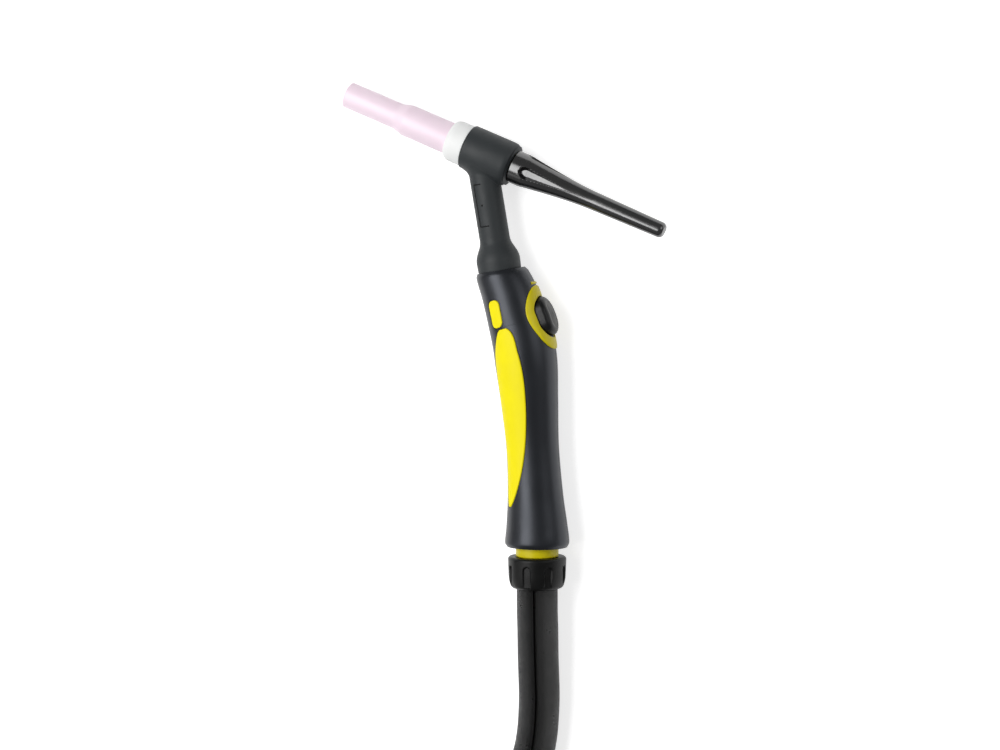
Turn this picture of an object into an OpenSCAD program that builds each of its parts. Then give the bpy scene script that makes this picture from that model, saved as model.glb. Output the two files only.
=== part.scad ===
// Gas-cooled TIG welding torch with a long back cap, a curved two-shell handle
// and a leather-sheathed cable. The torch lies on its side: its symmetry plane
// is horizontal, the head points to +Y and the cable leaves towards -Y.

/* [Gas nozzle] */
// Length of the ceramic nozzle in front of the white insulator
nozzle_len = 69; // [60:1:80]
// Part of the nozzle seated inside the insulator
nozzle_seat = 3; // [2:0.5:4]
// Diameter of the slim front barrel
nozzle_front_d = 15.6; // [14.5:0.1:17]
// Diameter of the thick rear barrel
nozzle_rear_d = 19; // [18.5:0.1:20]
// Length of the front barrel
nozzle_front_len = 34; // [28:1:40]
// Length of the sloping step between the barrels
nozzle_step = 6; // [4:0.5:8]
// Gas bore of the nozzle
nozzle_bore_d = 11; // [10:0.1:12]
// Rounding of the nozzle's front edge
nozzle_edge = 0.8; // [0.4:0.1:1]

/* [Cup insulator] */
// Visible length of the white insulator
insulator_len = 11.6; // [9:0.1:14]
// Diameter of the insulator
insulator_d = 24.9; // [23.5:0.1:26]

/* [Head] */
// Angle of the head axis below the horizontal, towards the cap
head_tilt = 22; // [15:1:30]
// Diameter of the head barrel
head_d = 26.3; // [25:0.1:28]
// Head barrel from the neck axis to its front face
head_front = 8.2; // [7.6:0.1:10]
// Head barrel from the neck axis to its rear face
head_rear = 21.7; // [18:0.1:25]
// Edge rounding at the rear of the head barrel
head_edge = 2.6; // [1:0.1:3]
// Lean of the neck away from the vertical
neck_lean = 9.8; // [6:0.2:12]
// Diameter of the neck
neck_d = 17.8; // [16:0.1:19]
// Distance from the head axis to the handle joint
neck_len = 70.2; // [66:0.2:76]
// Diameter of the collar above the handle
collar_d = 25.8; // [24:0.1:27]
// Height of the straight part of the collar
collar_len = 8.5; // [5:0.5:10]
// Height of the cone between neck and collar
collar_cone = 8; // [6:0.5:12]
// Diameter of the spigot inside the handle
spigot_d = 20; // [18:0.2:22]
// Length of the spigot
spigot_len = 5; // [4:0.5:6]

/* [Inner head parts] */
// Diameter of the brass head core
core_d = 17; // [16:0.1:18]
// Diameter of the threads at both ends of the core
thread_d = 10; // [9.6:0.1:10.4]
// Diameter of the tungsten electrode
electrode_d = 2.4; // [1.6:0.4:3.2]
// Length of the tungsten electrode
electrode_len = 175; // [150:1:175]
// How far the electrode's tip lies behind the nozzle's mouth
electrode_recess = 3; // [1:0.5:6]
// Outer diameter of the collet
collet_d = 4.6; // [4.4:0.1:5]
// Diameter of the nozzle thread on the collet body
nozzle_thread_d = 12.8; // [12:0.1:13]
// Outer diameter of the neck tube
tube_d = 9; // [8:0.1:9.6]
// Bore of the neck tube
tube_bore_d = 6; // [5:0.1:7]

/* [Back cap] */
// Length of the back cap
cap_len = 98; // [90:1:110]
// Diameter of the cap's collar
cap_d = 19.7; // [18.5:0.1:21]
// Length of the cap's straight collar
cap_land = 9; // [7:0.5:12]
// Diameter of the cap's slim stem
cap_stem_d = 10.7; // [10:0.1:11.5]
// Diameter at the cap's end
cap_end_d = 9.2; // [8.8:0.1:9.8]
// Length over which the collar tapers to the stem
cap_taper = 46; // [38:1:52]
// Number of finger flutes round the cap
flutes = 4; // [3:1:6]
// Radius of a flute
flute_r = 3.6; // [3:0.1:4]
// Depth of a flute at its rounded end
flute_deep = 2.6; // [1.6:0.1:2.8]

/* [Handle] */
// Length of the handle
handle_len = 162; // [150:1:175]
// Width just below the collar
handle_top_w = 31.2; // [30:0.1:33]
// Width at the button
handle_button_w = 34.7; // [33:0.1:37]
// Width at the swell below the button
handle_swell_w = 36.8; // [35:0.1:39]
// Width at the waist
handle_waist_w = 31.2; // [29.5:0.1:33]
// Width at the flared end
handle_end_w = 38.2; // [36:0.1:40]
// Depth of the handle as a share of its width, at the grip
handle_flat = 0.915; // [0.88:0.005:0.93]
// Depth at the flared end
handle_end_depth = 34.2; // [32:0.2:37]
// Wall of the shells
shell_wall = 2.2; // [1.8:0.1:2.6]

/* [Side grips and badges] */
// Plain stretch between the badge plate and the leaf-shaped side grip
leaf_after = 1; // [0.8:0.1:4]
// Length of the side grip as a share of the handle's
leaf_share = 0.655; // [0.5:0.005:0.66]
// Widest part of the side grip, as an angle round the handle
leaf_arc = 70; // [50:1:76]
// Thickness of the side grip
leaf_thick = 1.5; // [1.2:0.1:1.8]
// Height of the side grip above the shell
leaf_proud = 0.3; // [0.1:0.1:0.6]
// Start of the badge plate below the joint
badge_from = 15.2; // [13:0.2:17]
// Length of the badge plate
badge_len = 15.4; // [10:0.2:17]
// Width of the badge plate
badge_w = 7.2; // [5:0.1:8]
// Thickness of the badge plate
badge_thick = 1; // [0.8:0.1:1.4]
// Gap round each inlaid piece
inlay_gap = 0.25; // [0.1:0.05:0.4]

/* [Trigger] */
// Length of the oval button along the handle
button_len = 23.8; // [21:0.1:25]
// Width of the button across the handle
button_w = 17.6; // [17:0.1:20]
// Radius of the button's domed face
button_dome = 40; // [30:1:80]
// Height of the button above the handle
button_proud = 5; // [4:0.1:6]
// Travel of the button
button_travel = 1.5; // [1:0.1:1.6]
// Distance of the button's middle below the joint
button_drop = 31; // [30:0.2:34]
// Gap between the button and the shell
button_gap = 0.35; // [0.3:0.05:0.6]
// Length of the yellow oval bezel
bezel_len = 37.5; // [36:0.5:40]
// Width of the bezel across the handle
bezel_w = 26; // [24:0.1:27]
// Thickness of the bezel
bezel_thick = 0.9; // [0.6:0.1:1.2]
// Length of the switch body
switch_len = 20; // [16:1:22]
// Thickness of the switch body
switch_thick = 3; // [2.6:0.1:3.2]
// Wire diameter of the button spring
spring_wire = 0.8; // [0.6:0.1:1]
// Coils of the button spring
spring_coils = 5; // [4:1:7]

/* [Tail] */
// Visible diameter of the yellow swivel ring
swivel_d = 25.2; // [24:0.1:26]
// Visible length of the swivel ring
swivel_len = 5.8; // [5:0.1:7]
// Diameter of the cable nut
nut_d = 34.4; // [32:0.2:38]
// Length of the cable nut
nut_len = 18.8; // [16:0.2:22]
// Number of grip slots round the nut
nut_slots = 8; // [6:1:12]
// Width of a grip slot
slot_w = 4.6; // [3:0.1:5]
// Depth of a grip slot
slot_deep = 1.2; // [0.8:0.1:1.6]
// Diameter of the power and gas cable inside the handle
inner_cable_d = 9; // [8:0.1:9.2]
// Diameter of the switch lead
lead_d = 2.8; // [2.4:0.1:3]

/* [Cable] */
// Diameter of the leather-sheathed cable
sheath_d = 24; // [22:0.5:24.5]
// Gap between neighbouring turns of the coil
turn_gap = 0.6; // [0.5:0.1:2]
// Turns in each layer of the coil
layer_turns = 2.25; // [1.5:0.25:3.5]
// Inner radius of the coil, to the middle of the cable
coil_in_r = 97; // [90:1:120]

/* [Connectors] */
// Length of the rubber boot where the sheath ends
boot_len = 58; // [50:1:60]
// Length of the cable tails between the boot and the connectors
tail_len = 40; // [30:1:44]
// Diameter of the power plug's rubber sleeve
power_plug_d = 33; // [30:0.5:34]
// Length of the power plug's rubber sleeve
power_plug_len = 52; // [46:1:54]
// Diameter of the bayonet pin
bayonet_d = 13; // [9:0.1:13]
// Length of the bayonet pin
bayonet_len = 25; // [20:1:28]
// Diameter of the gas hose
gas_hose_d = 8; // [7:0.5:9]
// Bore of the gas nut, a 3/8 inch thread
gas_nut_bore_d = 15; // [14:0.1:15.5]
// Size of the gas nut across its corners
gas_nut_d = 21; // [20:0.2:22]
// Length of the gas nut
gas_nut_len = 20; // [18:0.5:22]
// Diameter of the control lead
control_d = 5; // [4:0.5:6]
// Diameter of the control plug
control_plug_d = 15; // [14:0.2:15.5]
// Length of the control plug
control_plug_len = 36; // [30:1:40]
// Diameter of the control plug's locking ring
control_ring_d = 18; // [17:0.2:18.4]

/* [Hidden] */
$fn = 64;

fit = 0.05; // radial running clearance of threads and shafts
loose = 0.3; // gap between moving pieces that don't guide each other

// Head stations along the head axis from the neck axis, negative towards the nozzle
insulator_from = -head_front - insulator_len;
tip_at = insulator_from - nozzle_len;
cap_from = head_rear + 0.4;
cap_to = cap_from + cap_len;
core_in = 0.3; // how far the core's ends lie inside the jacket's ends
nozzle_shoulder = nozzle_rear_d + 0.2; // counterbore of the insulator

// Handle joint, measured from the crossing of the axes
joint_x = neck_len * sin(neck_lean);
joint_y = -neck_len * cos(neck_lean);

// The torch's own box, measured from the crossing of the head and neck axes
x_low = tip_at * cos(head_tilt) - nozzle_front_d / 2 * sin(head_tilt);
x_high = cap_to * cos(head_tilt) + cap_end_d / 2 * sin(head_tilt);
y_high = -tip_at * sin(head_tilt) + nozzle_front_d / 2 * cos(head_tilt);
y_low = joint_y - handle_len - swivel_len - nut_len;
head_at = [-(x_low + x_high) / 2, -(y_low + y_high) / 2,
  max(nut_d, handle_end_depth, handle_swell_w * handle_flat) / 2];

tail_x = joint_x + 23; // sideways place of the tail's axis
tail_y = joint_y - handle_len; // end of the handle
nut_y = tail_y - swivel_len;
sheath_y = nut_y - nut_len / 2; // where the sheath starts inside the nut

// Handle stations: share of the length, sideways shift from the joint, width, lean
stations = [
  [0, 0.6, handle_top_w - 3.6, neck_lean + 2],
  [2.5 / 162, 1.6, handle_top_w, neck_lean + 2],
  [13 / 162, 5.9, (handle_top_w + handle_button_w) / 2 + 0.2, 15],
  [27 / 162, 10.1, handle_button_w, 16],
  [41 / 162, 14.2, handle_swell_w - 0.1, 14],
  [55 / 162, 16.4, handle_swell_w, 8],
  [76 / 162, 18.2, (handle_swell_w + handle_waist_w) / 2, 4],
  [104 / 162, 20.2, handle_waist_w, 3.5],
  [132 / 162, 21.9, handle_waist_w + 1.8, 3],
  [150 / 162, 22.8, handle_end_w - 1.8, 3],
  [159.5 / 162, 23, handle_end_w, 1],
  [1, 23, handle_end_w - 2.4, 0]];
end_from = 120; // where the depth starts to grow to the flared end
last = len(stations) - 1;
function clamp(x, low, high) = min(max(x, low), high);
function ease(x) = let (c = clamp(x, 0, 1)) c * c * (3 - 2 * c);
function mix(a, b, t) = a + (b - a) * t;
function span(u, i = 0) = i >= last - 1 || u < stations[i + 1][0] ? i : span(u, i + 1);
function slope(i, k) = let (a = max(i - 1, 0), b = min(i + 1, last))
  (stations[b][k] - stations[a][k]) / (stations[b][0] - stations[a][0]);
// Smooth value of column k at share u of the handle's length
function along(u, k) = let (i = span(u), h = stations[i + 1][0] - stations[i][0],
    t = (u - stations[i][0]) / h, t2 = t * t, t3 = t2 * t)
  (2 * t3 - 3 * t2 + 1) * stations[i][k] + (t3 - 2 * t2 + t) * h * slope(i, k)
  + (3 * t2 - 2 * t3) * stations[i + 1][k] + (t3 - t2) * h * slope(i + 1, k);
function half_w(d) = along(d / handle_len, 2) / 2;
function half_depth(d) = mix(half_w(d) * handle_flat,
    handle_end_depth / 2 * along(d / handle_len, 2) / handle_end_w,
    ease((d - end_from) / (handle_len - end_from - 12)));
function lean(d) = along(d / handle_len, 3);
function spine(d) = head_at + [joint_x + along(d / handle_len, 1), joint_y - d, 0];
// Point on the handle's skin: distance d down, angle a from the button side, height above the skin
function skin(d, a, up = 0) = let (c = lean(d))
  spine(d) + (half_w(d) + up) * cos(a) * [cos(c), sin(c), 0] + [0, 0, (half_depth(d) + up) * sin(a)];

leaf_from = badge_from + badge_len + leaf_after; // where the side grip starts
leaf_len = leaf_share * handle_len;

// Angle limits of the inlays at distance d, grown by g millimetres
function deg(mm, d) = mm / half_w(d) * 180 / PI;
function leaf_u(d) = clamp((d - leaf_from) / leaf_len, 0.001, 0.999);
function leaf_mid(d) = let (u = leaf_u(d)) 108 + 8 * ease(u / 0.15) + 24 * pow(u, 4);
function leaf_half(d, g) = max(leaf_arc / 2 * sqrt(sin(180 * pow(leaf_u(d), 0.75)))
    + deg(g, d), deg(0.4, d));
function badge_mid(d) = 116 + 3 * clamp((d - badge_from) / badge_len, 0, 1);
badge_r = 3.2; // corner radius of the badge
function badge_half(d, g) = let (r = badge_r + g,
    e = clamp(min(d - badge_from, badge_from + badge_len - d) + g, 0, r))
  max(deg(badge_w / 2 + g - r + sqrt(r * r - (r - e) * (r - e)), d), deg(0.4, d));
on_badge = badge_from + badge_len + 0.3;
function inlay_mid(d) = d < on_badge ? badge_mid(d) : leaf_mid(d);
function inlay_half(d, g) = d < on_badge ? badge_half(d, g) : leaf_half(d, g);
function in_badge(d) = d > badge_from - inlay_gap && d < badge_from + badge_len + inlay_gap;
function in_leaf(d) = d > leaf_from && d < leaf_from + leaf_len;
under_pad = 0.15; // room between a pocket's floor and its pad
function recess(d) = in_badge(d) ? badge_thick - 0.1 + under_pad
  : in_leaf(d) ? leaf_thick - leaf_proud + under_pad : 0;

// Rows down the handle, close together where an inlay or an end is rounded
edge = 0.1;
function steps(from, to, n) = [for (i = [0:n]) mix(from, to, i / n)];
badge_rows = [-inlay_gap - edge, -inlay_gap + edge, 0.5, 1.4, badge_r + 0.3];
rows = concat([0, 0.5, 1.3, 2.5, 6, 10], [for (b = badge_rows) badge_from + b],
  [for (i = [4:-1:0]) badge_from + badge_len - badge_rows[i]],
  [leaf_from + 0.6, leaf_from + 2.2, leaf_from + 5],
  steps(leaf_from + 9, leaf_from + leaf_len - 7, 18),
  [leaf_from + leaf_len - 3, leaf_from + leaf_len - 0.8, handle_len - 19, handle_len - 13,
   handle_len - 7, handle_len - 2.5, handle_len - 1, handle_len]);
// Angles of one row: three plain stretches and the inlay's edge pairs between them
function angles(d) = let (m = inlay_mid(d), h = inlay_half(d, inlay_gap), w = deg(0.25, d))
  concat(steps(0, m - h - w, 8), steps(m - h, m + h, 5), steps(m + h + w, 180, 3));
function depth_at(d, j) = j > 8 && j < 15 ? -recess(d) : 0;
cols = 19;

// Inner half widths: the spigot's hole on top, the swivel's seat at the end
function seat(d) = ease((d - spigot_len - 1) / 4);
flange_d = swivel_d + 3.4; // the swivel's flange, held inside the handle
flange_from = handle_len - 11;
flange_to = handle_len - 5;
function tail_seat(d, r) = d < flange_from - 6 ? r : d < flange_from - 1 ?
    mix(r, flange_d / 2 + 0.5, (d - flange_from + 6) / 5) :
  d <= flange_to + 0.5 ? flange_d / 2 + 0.5 : swivel_d / 2 + 0.5;
function inner_r(d, r) = tail_seat(d, mix(spigot_d / 2 + 0.2, r - shell_wall, seat(d)));
function middle(d) = d < 90 ? let (k = seat(d)) mix(neck_point(neck_len + d), spine(d), k) :
  mix(spine(d), tail_point(handle_len - d), ease((d - 90) / (flange_from - 96)));
function neck_point(s) = head_at + [s * sin(neck_lean), -s * cos(neck_lean), 0];
function tail_point(s) = head_at + [tail_x, tail_y + s, 0];
function inner_lean(d) = mix(neck_lean, lean(d), seat(d)) * (1 - ease((d - 90) / (flange_from - 96)));
function inside(d, a) = let (c = inner_lean(d))
  middle(d) + inner_r(d, half_w(d)) * cos(a) * [cos(c), sin(c), 0]
  + [0, 0, inner_r(d, half_depth(d)) * sin(a)];
inner_rows = concat([for (d = rows) if (d < flange_from - 9) d],
  [flange_from - 6, flange_from - 1, flange_to + 0.5, flange_to + 0.6, handle_len]);
function flip(p, side) = [p[0], p[1], head_at[2] + side * (p[2] - head_at[2])];

// Triangles of a grid of m rows by n columns whose points start at index o
function grid(m, n, o, turn) = [for (i = [0:m - 2], j = [0:n - 2])
  let (a = o + i * n + j, b = a + n)
  each turn ? [[a, a + 1, b], [a + 1, b + 1, b]] : [[a, b, a + 1], [a + 1, b, b + 1]]];
// Triangles of a strip between two equally long index lists
function strip(p, q, turn) = [for (i = [0:len(p) - 2])
  each turn ? [[p[i], q[i], p[i + 1]], [p[i + 1], q[i], q[i + 1]]]
    : [[p[i], p[i + 1], q[i]], [p[i + 1], q[i + 1], q[i]]]];
// A fan-like strip between two index lists of unequal length
function zip(p, q, i, j, turn) = i >= len(p) - 1 && j >= len(q) - 1 ? [] :
  let (go = j >= len(q) - 1 || (i < len(p) - 1 && (i + 1) / (len(p) - 1) <= (j + 1) / (len(q) - 1)),
    t = go ? [p[i], p[i + 1], q[j]] : [p[i], q[j + 1], q[j]])
  concat([turn ? [t[0], t[2], t[1]] : t], go ? zip(p, q, i + 1, j, turn) : zip(p, q, i, j + 1, turn));

// One half of the handle: outer skin with its recesses, inner skin and the rims between
module shell_skin(side) {
  m = len(rows);
  k = len(inner_rows);
  outer = [for (d = rows) let (a = angles(d)) for (j = [0:cols - 1])
    flip(skin(d, a[j], depth_at(d, j)), side)];
  inner = [for (d = inner_rows) let (a = angles(min(d, leaf_from + leaf_len))) for (j = [0:cols - 1])
    flip(inside(d, d < leaf_from ? j * 10 : a[j]), side)];
  o = m * cols;
  top_out = [for (j = [0:cols - 1]) j];
  top_in = [for (j = [0:cols - 1]) o + j];
  end_out = [for (j = [0:cols - 1]) (m - 1) * cols + j];
  end_in = [for (j = [0:cols - 1]) o + (k - 1) * cols + j];
  front_out = [for (i = [0:m - 1]) i * cols];
  front_in = [for (i = [0:k - 1]) o + i * cols];
  back_out = [for (i = [0:m - 1]) i * cols + cols - 1];
  back_in = [for (i = [0:k - 1]) o + i * cols + cols - 1];
  up = side > 0;
  polyhedron(points = concat(outer, inner), faces = concat(
    grid(m, cols, 0, up), grid(k, cols, o, !up),
    strip(top_out, top_in, up), strip(end_out, end_in, !up),
    zip(front_out, front_in, 0, 0, up), zip(back_out, back_in, 0, 0, !up)));
}

// A curved pad on the skin between rows ds, from height low to height high
module pad(ds, side, low, high, gap) {
  n = 6;
  m = len(ds);
  function cell(d, j, up) = let (c = inlay_mid(d), h = inlay_half(d, -gap))
    flip(skin(d, mix(c - h, c + h, j / (n - 1)), up), side);
  o = m * n;
  top = [for (d = ds, j = [0:n - 1]) cell(d, j, high)];
  base = [for (d = ds, j = [0:n - 1]) cell(d, j, low)];
  up = side > 0;
  ring = concat([for (j = [0:n - 1]) j], [for (i = [1:m - 1]) i * n + n - 1],
    [for (j = [n - 2:-1:0]) (m - 1) * n + j], [for (i = [m - 2:-1:0]) i * n]);
  polyhedron(points = concat(top, base), faces = concat(
    grid(m, n, 0, up), grid(m, n, o, !up),
    strip(ring, [for (i = ring) i + o], up)));
}

// A round tube of radius r swept along points, with its own up direction
function unit(v) = v / norm(v);
function heading(path, i) = unit(path[min(i + 1, len(path) - 1)] - path[max(i - 1, 0)]);
module sweep(path, r, sides, up = [0, 0, 1], turn = 0) {
  n = len(path);
  points = [for (i = [0:n - 1]) let (t = heading(path, i), s = unit(cross(t, up)), u = cross(s, t))
    for (j = [0:sides - 1]) let (a = turn + 360 * j / sides) path[i] + r * (cos(a) * s + sin(a) * u)];
  walls = [for (i = [0:n - 2], j = [0:sides - 1])
    let (a = i * sides + j, b = i * sides + (j + 1) % sides)
    each [[a, b, a + sides], [b, b + sides, a + sides]]];
  caps = [for (j = [1:sides - 2]) each [[0, j + 1, j],
    [(n - 1) * sides, (n - 1) * sides + j, (n - 1) * sides + j + 1]]];
  polyhedron(points = points, faces = concat(walls, caps));
}
// Points of a smooth curve through hand-set points, n steps to each stretch
function bend(p, n) = concat([for (i = [0:len(p) - 2], k = [0:n - 1])
  let (a = p[max(i - 1, 0)], b = p[i], c = p[i + 1], d = p[min(i + 2, len(p) - 1)], t = k / n)
  0.5 * (2 * b + (c - a) * t + (2 * a - 5 * b + 4 * c - d) * t * t
    + (3 * b - a - 3 * c + d) * t * t * t)], [p[len(p) - 1]]);

// Places along the head axis, the neck, the tail, the button and the connectors
module on_head(s) translate(head_at) rotate([0, 0, -head_tilt]) rotate([0, 90, 0])
  translate([0, 0, s]) children();
module on_neck(s) translate(head_at) rotate([0, 0, neck_lean]) rotate([90, 0, 0])
  translate([0, 0, s]) children();
module on_tail(s) translate(head_at + [tail_x, tail_y, 0]) rotate([90, 0, 0])
  translate([0, 0, s]) children();
button_tilt = 21.5;
module on_button(s) translate(skin(button_drop, 0)) rotate([0, 0, button_tilt])
  rotate([0, 90, 0]) translate([0, 0, s]) children();
function button_point(s, down, z) = skin(button_drop, 0)
  + s * [cos(button_tilt), sin(button_tilt), 0] + down * [sin(button_tilt), -cos(button_tilt), 0]
  + [0, 0, z];
module tube(r, bore, h) difference() {
  cylinder(r = r, h = h);
  translate([0, 0, -1]) cylinder(r = bore, h = h + 2);
}
// Turned solid from [radius, height] pairs
module turned(outline) rotate_extrude() polygon(outline);

// ---- Front end ----
module gas_nozzle() {
  r1 = nozzle_front_d / 2;
  r2 = nozzle_rear_d / 2;
  end = nozzle_len + nozzle_seat;
  thread_from = nozzle_len - 16;
  color("mistyrose") on_head(tip_at) turned([
    [nozzle_bore_d / 2, 0], [r1 - nozzle_edge, 0], [r1, nozzle_edge], [r1, nozzle_front_len],
    [r2, nozzle_front_len + nozzle_step], [r2, end], [nozzle_thread_d / 2 + fit, end],
    [nozzle_thread_d / 2 + fit, thread_from], [nozzle_bore_d / 2, thread_from - 2]]);
}
module cup_insulator() {
  r = insulator_d / 2;
  color("white") on_head(insulator_from) turned([
    [nozzle_shoulder / 2, 0], [r - 2.2, 0], [r - 0.8, 0.9], [r, 3], [r, insulator_len],
    [flange_r + 0.1, insulator_len], [flange_r + 0.1, nozzle_seat + 0.1],
    [nozzle_shoulder / 2, nozzle_seat + 0.1]]);
}
flange_r = 8; // flange of the collet body, inside the insulator
nose_len = 18;
module collet_body() {
  back = head_front + 2;
  nose = flange_from_head - 12 - nose_len;
  color("peru") difference() {
    on_head(nose) turned([
      [collet_d / 2 - 0.6, 0], [3.4, 0], [4.6, 2], [4.6, nose_len], [nozzle_thread_d / 2, nose_len],
      [nozzle_thread_d / 2, nose_len + 12], [flange_r, nose_len + 12],
      [flange_r, -head_front - nose], [thread_d / 2, -head_front - nose],
      [thread_d / 2, -head_front - nose + back], [collet_d / 2 + fit, -head_front - nose + back],
      [collet_d / 2 + fit, 2]]);
    for (a = [0:90:270]) on_head(nose + nose_len - 4) rotate([0, 90, a])
      translate([0, 0, collet_d / 2 - 1]) cylinder(r = 1, h = 6, $fn = 24);
  }
}
flange_from_head = -head_front - insulator_len + nozzle_seat + 0.4;
collet_from = flange_from_head - 12 - nose_len + 2.2;
collet_to = 14;
module collet() {
  color("chocolate") difference() {
    on_head(collet_from) tube(collet_d / 2, electrode_d / 2 + fit, collet_to - collet_from);
    for (a = [0, 90]) on_head(collet_from - 1) rotate([0, 0, a])
      translate([-0.2, -collet_d, 0]) cube([0.4, 2 * collet_d, 19]);
  }
}
module tungsten_electrode() {
  r = electrode_d / 2;
  color("silver") on_head(tip_at + electrode_recess)
    turned([[0, 0], [0.15, 0], [r, 6], [r, electrode_len], [0, electrode_len]]);
}

// ---- Head ----
port_from = thread_d / 2 + 1.4; // where the neck tube stops short of the core's bore
module head_core() {
  r = core_d / 2;
  length = head_front + head_rear - 2 * core_in;
  color("goldenrod") difference() {
    on_head(core_in - head_front) tube(r, thread_d / 2 + fit, length);
    on_neck(0) cylinder(r = tube_bore_d / 2, h = r + 2);
    on_neck(port_from) cylinder(r = tube_d / 2, h = r);
  }
}
module head_jacket() {
  r = head_d / 2;
  length = head_front + head_rear;
  cone_from = neck_len - collar_len - collar_cone;
  color("#3c3f41") difference() {
    union() {
      on_head(-head_front) turned([[0, 0], [r - 0.4, 0], [r, 0.6], [r, length - head_edge],
        [r - 0.3 * head_edge, length - 0.3 * head_edge], [r - head_edge, length], [0, length]]);
      on_neck(0) turned([[0, 0], [neck_d / 2 + 1.4, 0], [neck_d / 2 + 1.4, r - 1], [neck_d / 2, r + 5],
        [neck_d / 2, cone_from], [collar_d / 2 - 0.9, cone_from + collar_cone - 1.5],
        [collar_d / 2, cone_from + collar_cone], [collar_d / 2, neck_len - 0.3],
        [spigot_d / 2, neck_len - 0.3], [spigot_d / 2, neck_len + spigot_len],
        [0, neck_len + spigot_len]]);
    }
    on_head(-head_front - 1) cylinder(r = core_d / 2, h = length + 2);
    on_neck(0) cylinder(r = tube_d / 2, h = neck_len + spigot_len + 1);
  }
}
coupling_from = neck_len + spigot_len + 0.8;
coupling_len = 13;
tube_end = coupling_from + 5;
module neck_tube()
  color("goldenrod") on_neck(port_from) tube(tube_d / 2, tube_bore_d / 2, tube_end - port_from);
module cable_coupling() {
  color("goldenrod") on_neck(coupling_from) difference() {
    cylinder(r = 7.4, h = coupling_len, $fn = 6);
    translate([0, 0, -1]) cylinder(r = tube_bore_d / 2, h = coupling_len + 2);
    translate([0, 0, -1]) cylinder(r = tube_d / 2, h = tube_end - coupling_from + 1);
    translate([0, 0, coupling_len - 4]) cylinder(r = inner_cable_d / 2 + 0.1, h = 5);
  }
}

// ---- Back cap ----
insert_from = collet_to + 0.2;
insert_neck = cap_from + 2.4;
insert_to = insert_neck + 10;
insert_r = 5.9;
cap_bore_r = 2.3;
ring_r = 7.2; // O-ring, to the middle of its cord
ring_cord = 0.9;
function cap_r(s) = s < cap_land ? cap_d / 2 : s < cap_land + cap_taper ?
  let (u = (s - cap_land) / cap_taper) mix(cap_stem_d / 2, cap_d / 2 - 1, pow(1 - u, 1.7)) :
  mix(cap_stem_d / 2, cap_end_d / 2, (s - cap_land - cap_taper) / (cap_len - cap_land - cap_taper));
module back_cap() {
  taper = [for (k = [0:8]) let (s = cap_land + 0.8 + (cap_taper - 0.8) * k / 8) [cap_r(s), s]];
  bore_to = cap_len - 3;
  groove = ring_cord + 0.15;
  reach = cap_taper + 8; // length of a flute's cutter
  from_r = cap_d / 2 - flute_deep + flute_r;
  to_r = cap_r(cap_land + 27) + flute_r;
  dip = atan((from_r - to_r) / 25);
  color("#101010") difference() {
    on_head(cap_from) turned(concat([[cap_bore_r, insert_to - cap_from],
      [insert_r, insert_to - cap_from], [insert_r, insert_neck - cap_from], [ring_r - groove, insert_neck
      - cap_from], [ring_r - groove, 2 * ring_cord], [ring_r + groove, 2 * ring_cord],
      [ring_r + groove, 0], [cap_d / 2 - 0.5, 0], [cap_d / 2, 0.5], [cap_d / 2, cap_land]], taper,
      [[cap_end_d / 2, cap_len - 1.2], [cap_end_d / 2 - 0.9, cap_len], [0, cap_len], [0, bore_to],
      [cap_bore_r, bore_to]]));
    for (i = [0:flutes - 1]) on_head(cap_from + cap_land + 2) rotate([0, 0, flute_turn + 360 * i / flutes])
      translate([from_r, 0, 0]) rotate([0, -dip, 0]) {
        sphere(r = flute_r);
        cylinder(r = flute_r, h = reach);
      }
  }
}
flute_turn = 180; // one flute faces upwards
module back_cap_insert() {
  color("goldenrod") on_head(insert_from) turned([
    [electrode_d / 2 + 0.5, 0], [thread_d / 2, 0], [thread_d / 2, insert_neck - insert_from],
    [insert_r, insert_neck - insert_from], [insert_r, insert_to - insert_from],
    [electrode_d / 2 + 0.5, insert_to - insert_from]]);
}
module back_cap_o_ring()
  color("black") on_head(cap_from + ring_cord - 0.15) rotate_extrude() translate([ring_r, 0])
    circle(r = ring_cord, $fn = 32);

// ---- Handle ----
boss_r = 2.9;
screw_r = 1.5;
// Distance down the handle and share of the half width there
screw_places = [[badge_from - boss_r - 2, 0.62], [leaf_from + leaf_len * 0.265, -0.67],
  [leaf_from + leaf_len + boss_r + 0.7, -0.55]];
screw_short = 1.5; // the screw ends this far below the bottom of its hole
// How far a boss reaches from the middle plane, into the skin
function boss_reach(p) = let (d = p[0], far = abs(p[1]) + boss_r / half_w(d))
  half_depth(d) * sqrt(1 - far * far) - 0.6 - recess(d);
module at_screws() for (p = screw_places) translate(spine(p[0]) + [p[1] * half_w(p[0]), 0, 0])
  let ($reach = boss_reach(p)) children();
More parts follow.
